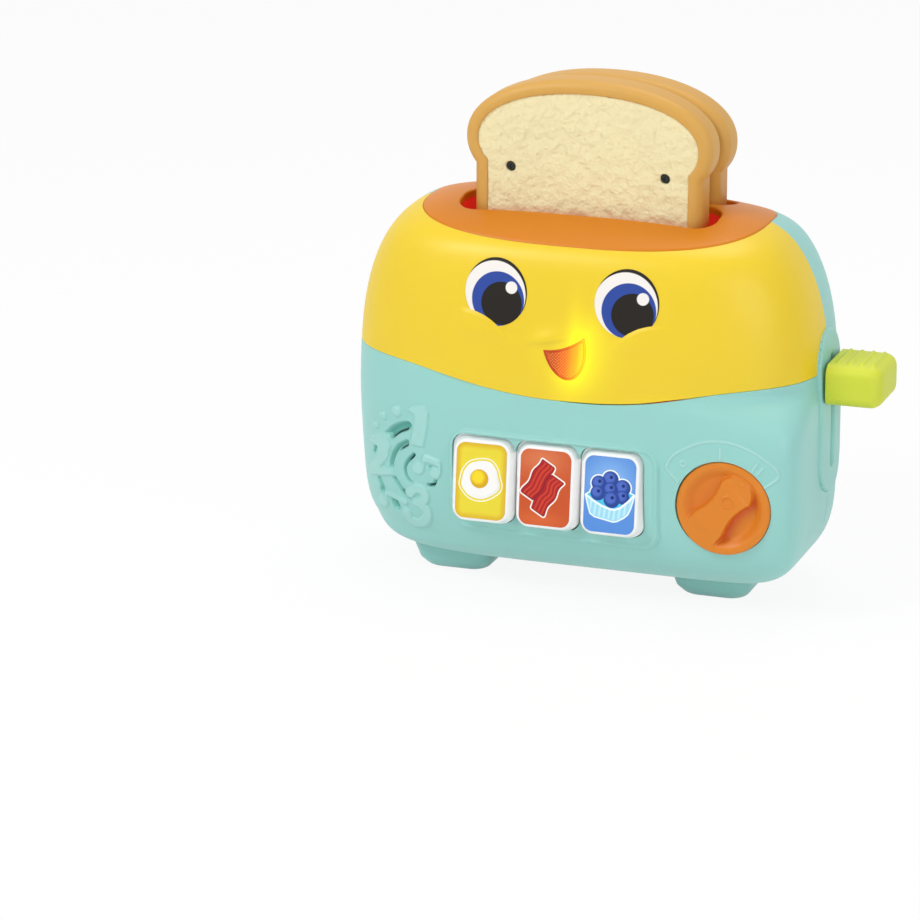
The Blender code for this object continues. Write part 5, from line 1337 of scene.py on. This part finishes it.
def mouth_outline():
    """An open smile that leans to the right: half an oval under a sagging lip."""
    turn = np.linspace(0, math.pi, 25)
    across, down = -np.cos(turn), np.sin(turn)
    low = np.stack([2.2 + 9.6 * across + 4.0 * down, 124.7 + 3.6 * across - 16.2 * down], -1)
    across = np.linspace(1, -1, 11)[1:-1]
    high = np.stack([2.2 + 9.6 * across, 124.7 + 3.6 * across - 2.0 * (1 - across ** 2)], -1)
    return np.concatenate([low, high])


def make_mouth():
    """The lens: rows of small round dimples, in painted lamp light that runs from dark orange at the left to
    bright yellow at the right.
    """
    outline = mouth_outline()
    grid = np.stack(np.meshgrid(np.linspace(-9.6, 14.8, 190), np.linspace(106.5, 130, 184)), -1)
    flat, faces = trimmed(grid, lambda p: polygon_field(p, outline))
    f = polygon_field(flat, outline)
    cells = np.cos(flat[:, 0] * 4.4 + 0.5 * np.sin(flat[:, 1] * 2)) * np.cos(flat[:, 1] * 4.4
                                                                             + 0.7 * np.sin(flat[:, 0]
                                                                                            * 1.7))
    points = on_front(flat[:, 0], flat[:, 1], 0.15 + face_relief(flat)
                      + 0.08 * cells * smooth(-f, 0.6, 1.4))
    faces = face_outwards(points, faces, body_middle)
    # Painted lamp light: darker at the left, brightening to yellow at the right
    right = smooth(flat[:, 0] + 0.1 * (118 - flat[:, 1]), -7.0, 13.0)
    base = evenly("#c23a06", len(flat))
    base = mix(base, colour("#ea6a06"), smooth(right, 0.05, 0.5))
    base = mix(base, colour("#f9a800"), smooth(right, 0.45, 0.85))
    base = mix(base, colour("#ffe000"), 0.8 * smooth(right, 0.8, 1.0))
    # Painted highlights on the dimples' crests and painted shade in their hollows towards the left; darker
    # lines along the edge and just inside it
    base = mix(base, colour("#ffc45a"), 0.75 * smooth(cells, 0.2, 0.8) * smooth(-f, 0.8, 1.4)
               * (1 - 0.5 * right))
    base = mix(base, colour("#a8320c"), 0.6 * smooth(-cells, 0.3, 0.9) * (1 - right) * smooth(-f, 0.8, 1.4))
    base = mix(base, colour("#a03008"), 0.75 * cover(np.abs(f + 0.9) - 0.2, 0.2) * (1 - 0.4 * right))
    base = mix(base, colour("#b84a04"), 0.8 * cover(np.abs(f) - 0.3, 0.2) * (1 - 0.4 * right))
    # Painted light: the alpha makes the lens glow, more at the right
    colours = np.concatenate([base, (0.12 + 0.18 * right ** 2)[:, None]], 1)
    return piece("mouth_lens_skin", [(points, faces)], finishes["lens"], "housing", ["mouth_lens"],
                 colours=colours)


def make_track_plate():
    """The plate round the lever's slot: a long round-ended plate on the side, with a slot cut through."""
    y = spread(-plate_half_width - 0.5, plate_half_width + 0.5, lambda v: np.full_like(v, 0.5))
    z = spread(plate_low - 0.5, plate_high + 0.5, lambda v: np.full_like(v, 0.5))
    middle = (plate_low + plate_high) / 2
    slot_middle = (plate_slot_low + plate_slot_high) / 2

    def field(p):
        outer = box_field(p, (0, middle), (plate_half_width, (plate_high - plate_low) / 2),
                          plate_half_width)
        slot = box_field(p, (0, slot_middle), (plate_slot_half_width,
                                               (plate_slot_high - plate_slot_low) / 2),
                         plate_slot_half_width)
        return np.maximum(outer, -slot)

    flat, faces = trimmed(np.stack(np.meshgrid(y, z), -1), field)
    half_width, half_depth = half_sizes(flat[:, 1])
    x = half_width * (1 - (np.abs(flat[:, 0]) / half_depth) ** plan_power) ** (1 / plan_power)
    inner = -field(flat)
    drop = 1.2 - np.sqrt(np.maximum(1.2 ** 2 - np.maximum(1.2 - inner, 0) ** 2, 0))
    points = np.stack([x + plate_rise - drop, flat[:, 0], flat[:, 1]], -1)
    faces = face_outwards(points, faces, body_middle)
    points, faces = skirt(points, faces, open_edges(faces, len(points)), [lambda p: np.array([-3.0, 0, 0])])
    return piece("track_plate_skin", [(points, faces)], finishes["turquoise"], "housing",
                 ["lever_track_plate"])


def make_return_spring():
    """A round wire wound evenly round the guide rod."""
    rod = np.array([84.0, 10.503, 38.3])
    turn = np.linspace(0, 12 * 2 * math.pi, 12 * 24 + 1)[:, None]
    lean = np.linspace(0, 2 * math.pi, 9)[None, :-1]
    radius = 3.6 + 0.5 * np.cos(lean)
    height = rod[2] + 0.5 + (turn / turn.max()) * 64.6 + 0.5 * np.sin(lean)
    points = np.stack([rod[0] + radius * np.cos(turn), rod[1] + radius * np.sin(turn), height], -1)
    coil = piece("return_spring_coil", [loft(points)], finishes["steel"], "housing", ["return_spring"])
    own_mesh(coil)


make_front_shell()
make_face_panel()
make_rear_shell()
make_top_trim()
make_feet()
for name, x in button_centres.items():
    make_button(name, x)
make_label("left", button_centres["left"], egg_drawing)
make_label("middle", button_centres["middle"], strips_drawing)
make_label("right", button_centres["right"], berries_drawing)
make_dial()
make_lever()
make_slice("front_slice", slot_centres[0], slice_drops[0])
make_slice("rear_slice", slot_centres[1], slice_drops[1])
make_eye("left_eye", -eye_spacing / 2)
make_eye("right_eye", eye_spacing / 2)
make_mouth()
make_track_plate()
make_return_spring()


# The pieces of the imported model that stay

kept_finishes = {
    "red": ["toast_well"],
    "grey": ["carriage", "latch_hook", "button_dome_pad", "switch_shaft"],
    "steel": ["guide_rod", "latch_pin"],
    "board": ["button_board", "lamp_board", "main_board"],
    "white": ["lamp_housing"],
    "amber": ["mouth_lamp"],
    "turquoise": ["battery_box", "battery_door"],
    # The slice screws take the dark finish as painted shade, standing for the shade in their holes
    "dark": ["rotary_switch", "speaker_frame", "speaker_cone", "battery_1", "battery_2", "battery_3",
             "front_slice_screw_left", "front_slice_screw_right", "rear_slice_screw_left",
             "rear_slice_screw_right"],
}
finish_of = {name: finish for finish, names in kept_finishes.items() for name in names}
for name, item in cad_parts.items():
    if item.hide_render:
        continue
    item.data.materials.clear()
    item.data.materials.append(finishes[finish_of.get(name, "steel")])


# Floor, light and camera

def seen_directly(tree):
    """1 for rays from the camera and for rays off gloss and through clear parts, and 0 for the others."""
    path = node(tree, "ShaderNodeLightPath")
    shiny = node(tree, "ShaderNodeMath", [(0, (path, "Is Glossy Ray")), (1, (path, "Is Transmission Ray"))],
                 operation="MAXIMUM")
    return node(tree, "ShaderNodeMath", [(0, (path, "Is Camera Ray")), (1, shiny)], operation="MAXIMUM")


def make_stage():
    """A pale paper floor that the camera sees as white."""
    mesh = bpy.data.meshes.new("floor")
    mesh.from_pydata([(-3, -3, 0), (3, -3, 0), (3, 3, 0), (-3, 3, 0)], [], [(0, 1, 2, 3)])
    floor = bpy.data.objects.new("floor", mesh)
    bpy.context.scene.collection.objects.link(floor)
    material = bpy.data.materials.new("white_paper")
    material.use_nodes = True
    tree = material.node_tree
    shader = tree.nodes["Principled BSDF"]
    shader.inputs["Base Color"].default_value = colour("#f6f6f6")
    shader.inputs["Roughness"].default_value = 0.9
    glow = node(tree, "ShaderNodeEmission", [("Color", colour("#ffffff")), ("Strength", 1.0)])
    blend = node(tree, "ShaderNodeMath", [(0, seen_directly(tree)), (1, 0.9)], operation="MULTIPLY")
    mixed = node(tree, "ShaderNodeMixShader", [(0, blend), (1, shader), (2, glow)])
    tree.links.new(mixed.outputs[0], tree.nodes["Material Output"].inputs["Surface"])
    mesh.materials.append(material)


def lamp(name, place, aim, size, power):
    """A round soft lamp that looks at a point."""
    light = bpy.data.lights.new(name, "AREA")
    light.shape = "DISK"
    light.size = size
    light.energy = power
    item = bpy.data.objects.new(name, light)
    item.location = place
    item.rotation_euler = (Vector(aim) - Vector(place)).to_track_quat("-Z", "Y").to_euler()
    bpy.context.scene.collection.objects.link(item)


make_stage()
lamp("key", (-0.9, -1.1, 1.3), (0, 0, 0.1), 0.7, 13)
lamp("fill", (1.2, -1.0, 0.6), (0, 0, 0.1), 1.0, 6)
lamp("top", (0.1, 0.3, 1.6), (0, 0, 0.1), 0.9, 7)

world = bpy.data.worlds.new("studio")
bpy.context.scene.world = world
world.use_nodes = True
tree = world.node_tree
background = tree.nodes["Background"]
background.inputs["Color"].default_value = colour("#ffffff")
strength = node(tree, "ShaderNodeMapRange", [("Value", seen_directly(tree)), ("To Min", 0.5),
                                             ("To Max", 1.0)])
tree.links.new(strength.outputs[0], background.inputs["Strength"])

azimuth, elevation, distance = math.radians(19.343), math.radians(17.521), 2.2
target = Vector((-0.081035, 0.0028966, 0.0459))
towards = Vector((math.sin(azimuth) * math.cos(elevation), -math.cos(azimuth) * math.cos(elevation),
                  math.sin(elevation)))
camera_data = bpy.data.cameras.new("camera")
camera_data.lens = 184.506
camera_data.sensor_width = 36.0
camera_data.clip_start = 0.05
camera = bpy.data.objects.new("camera", camera_data)
camera.location = target + towards * distance
camera.rotation_euler = (-towards).to_track_quat("-Z", "Y").to_euler()
bpy.context.scene.collection.objects.link(camera)
bpy.context.scene.camera = camera
bpy.context.scene.view_settings.view_transform = "Standard"
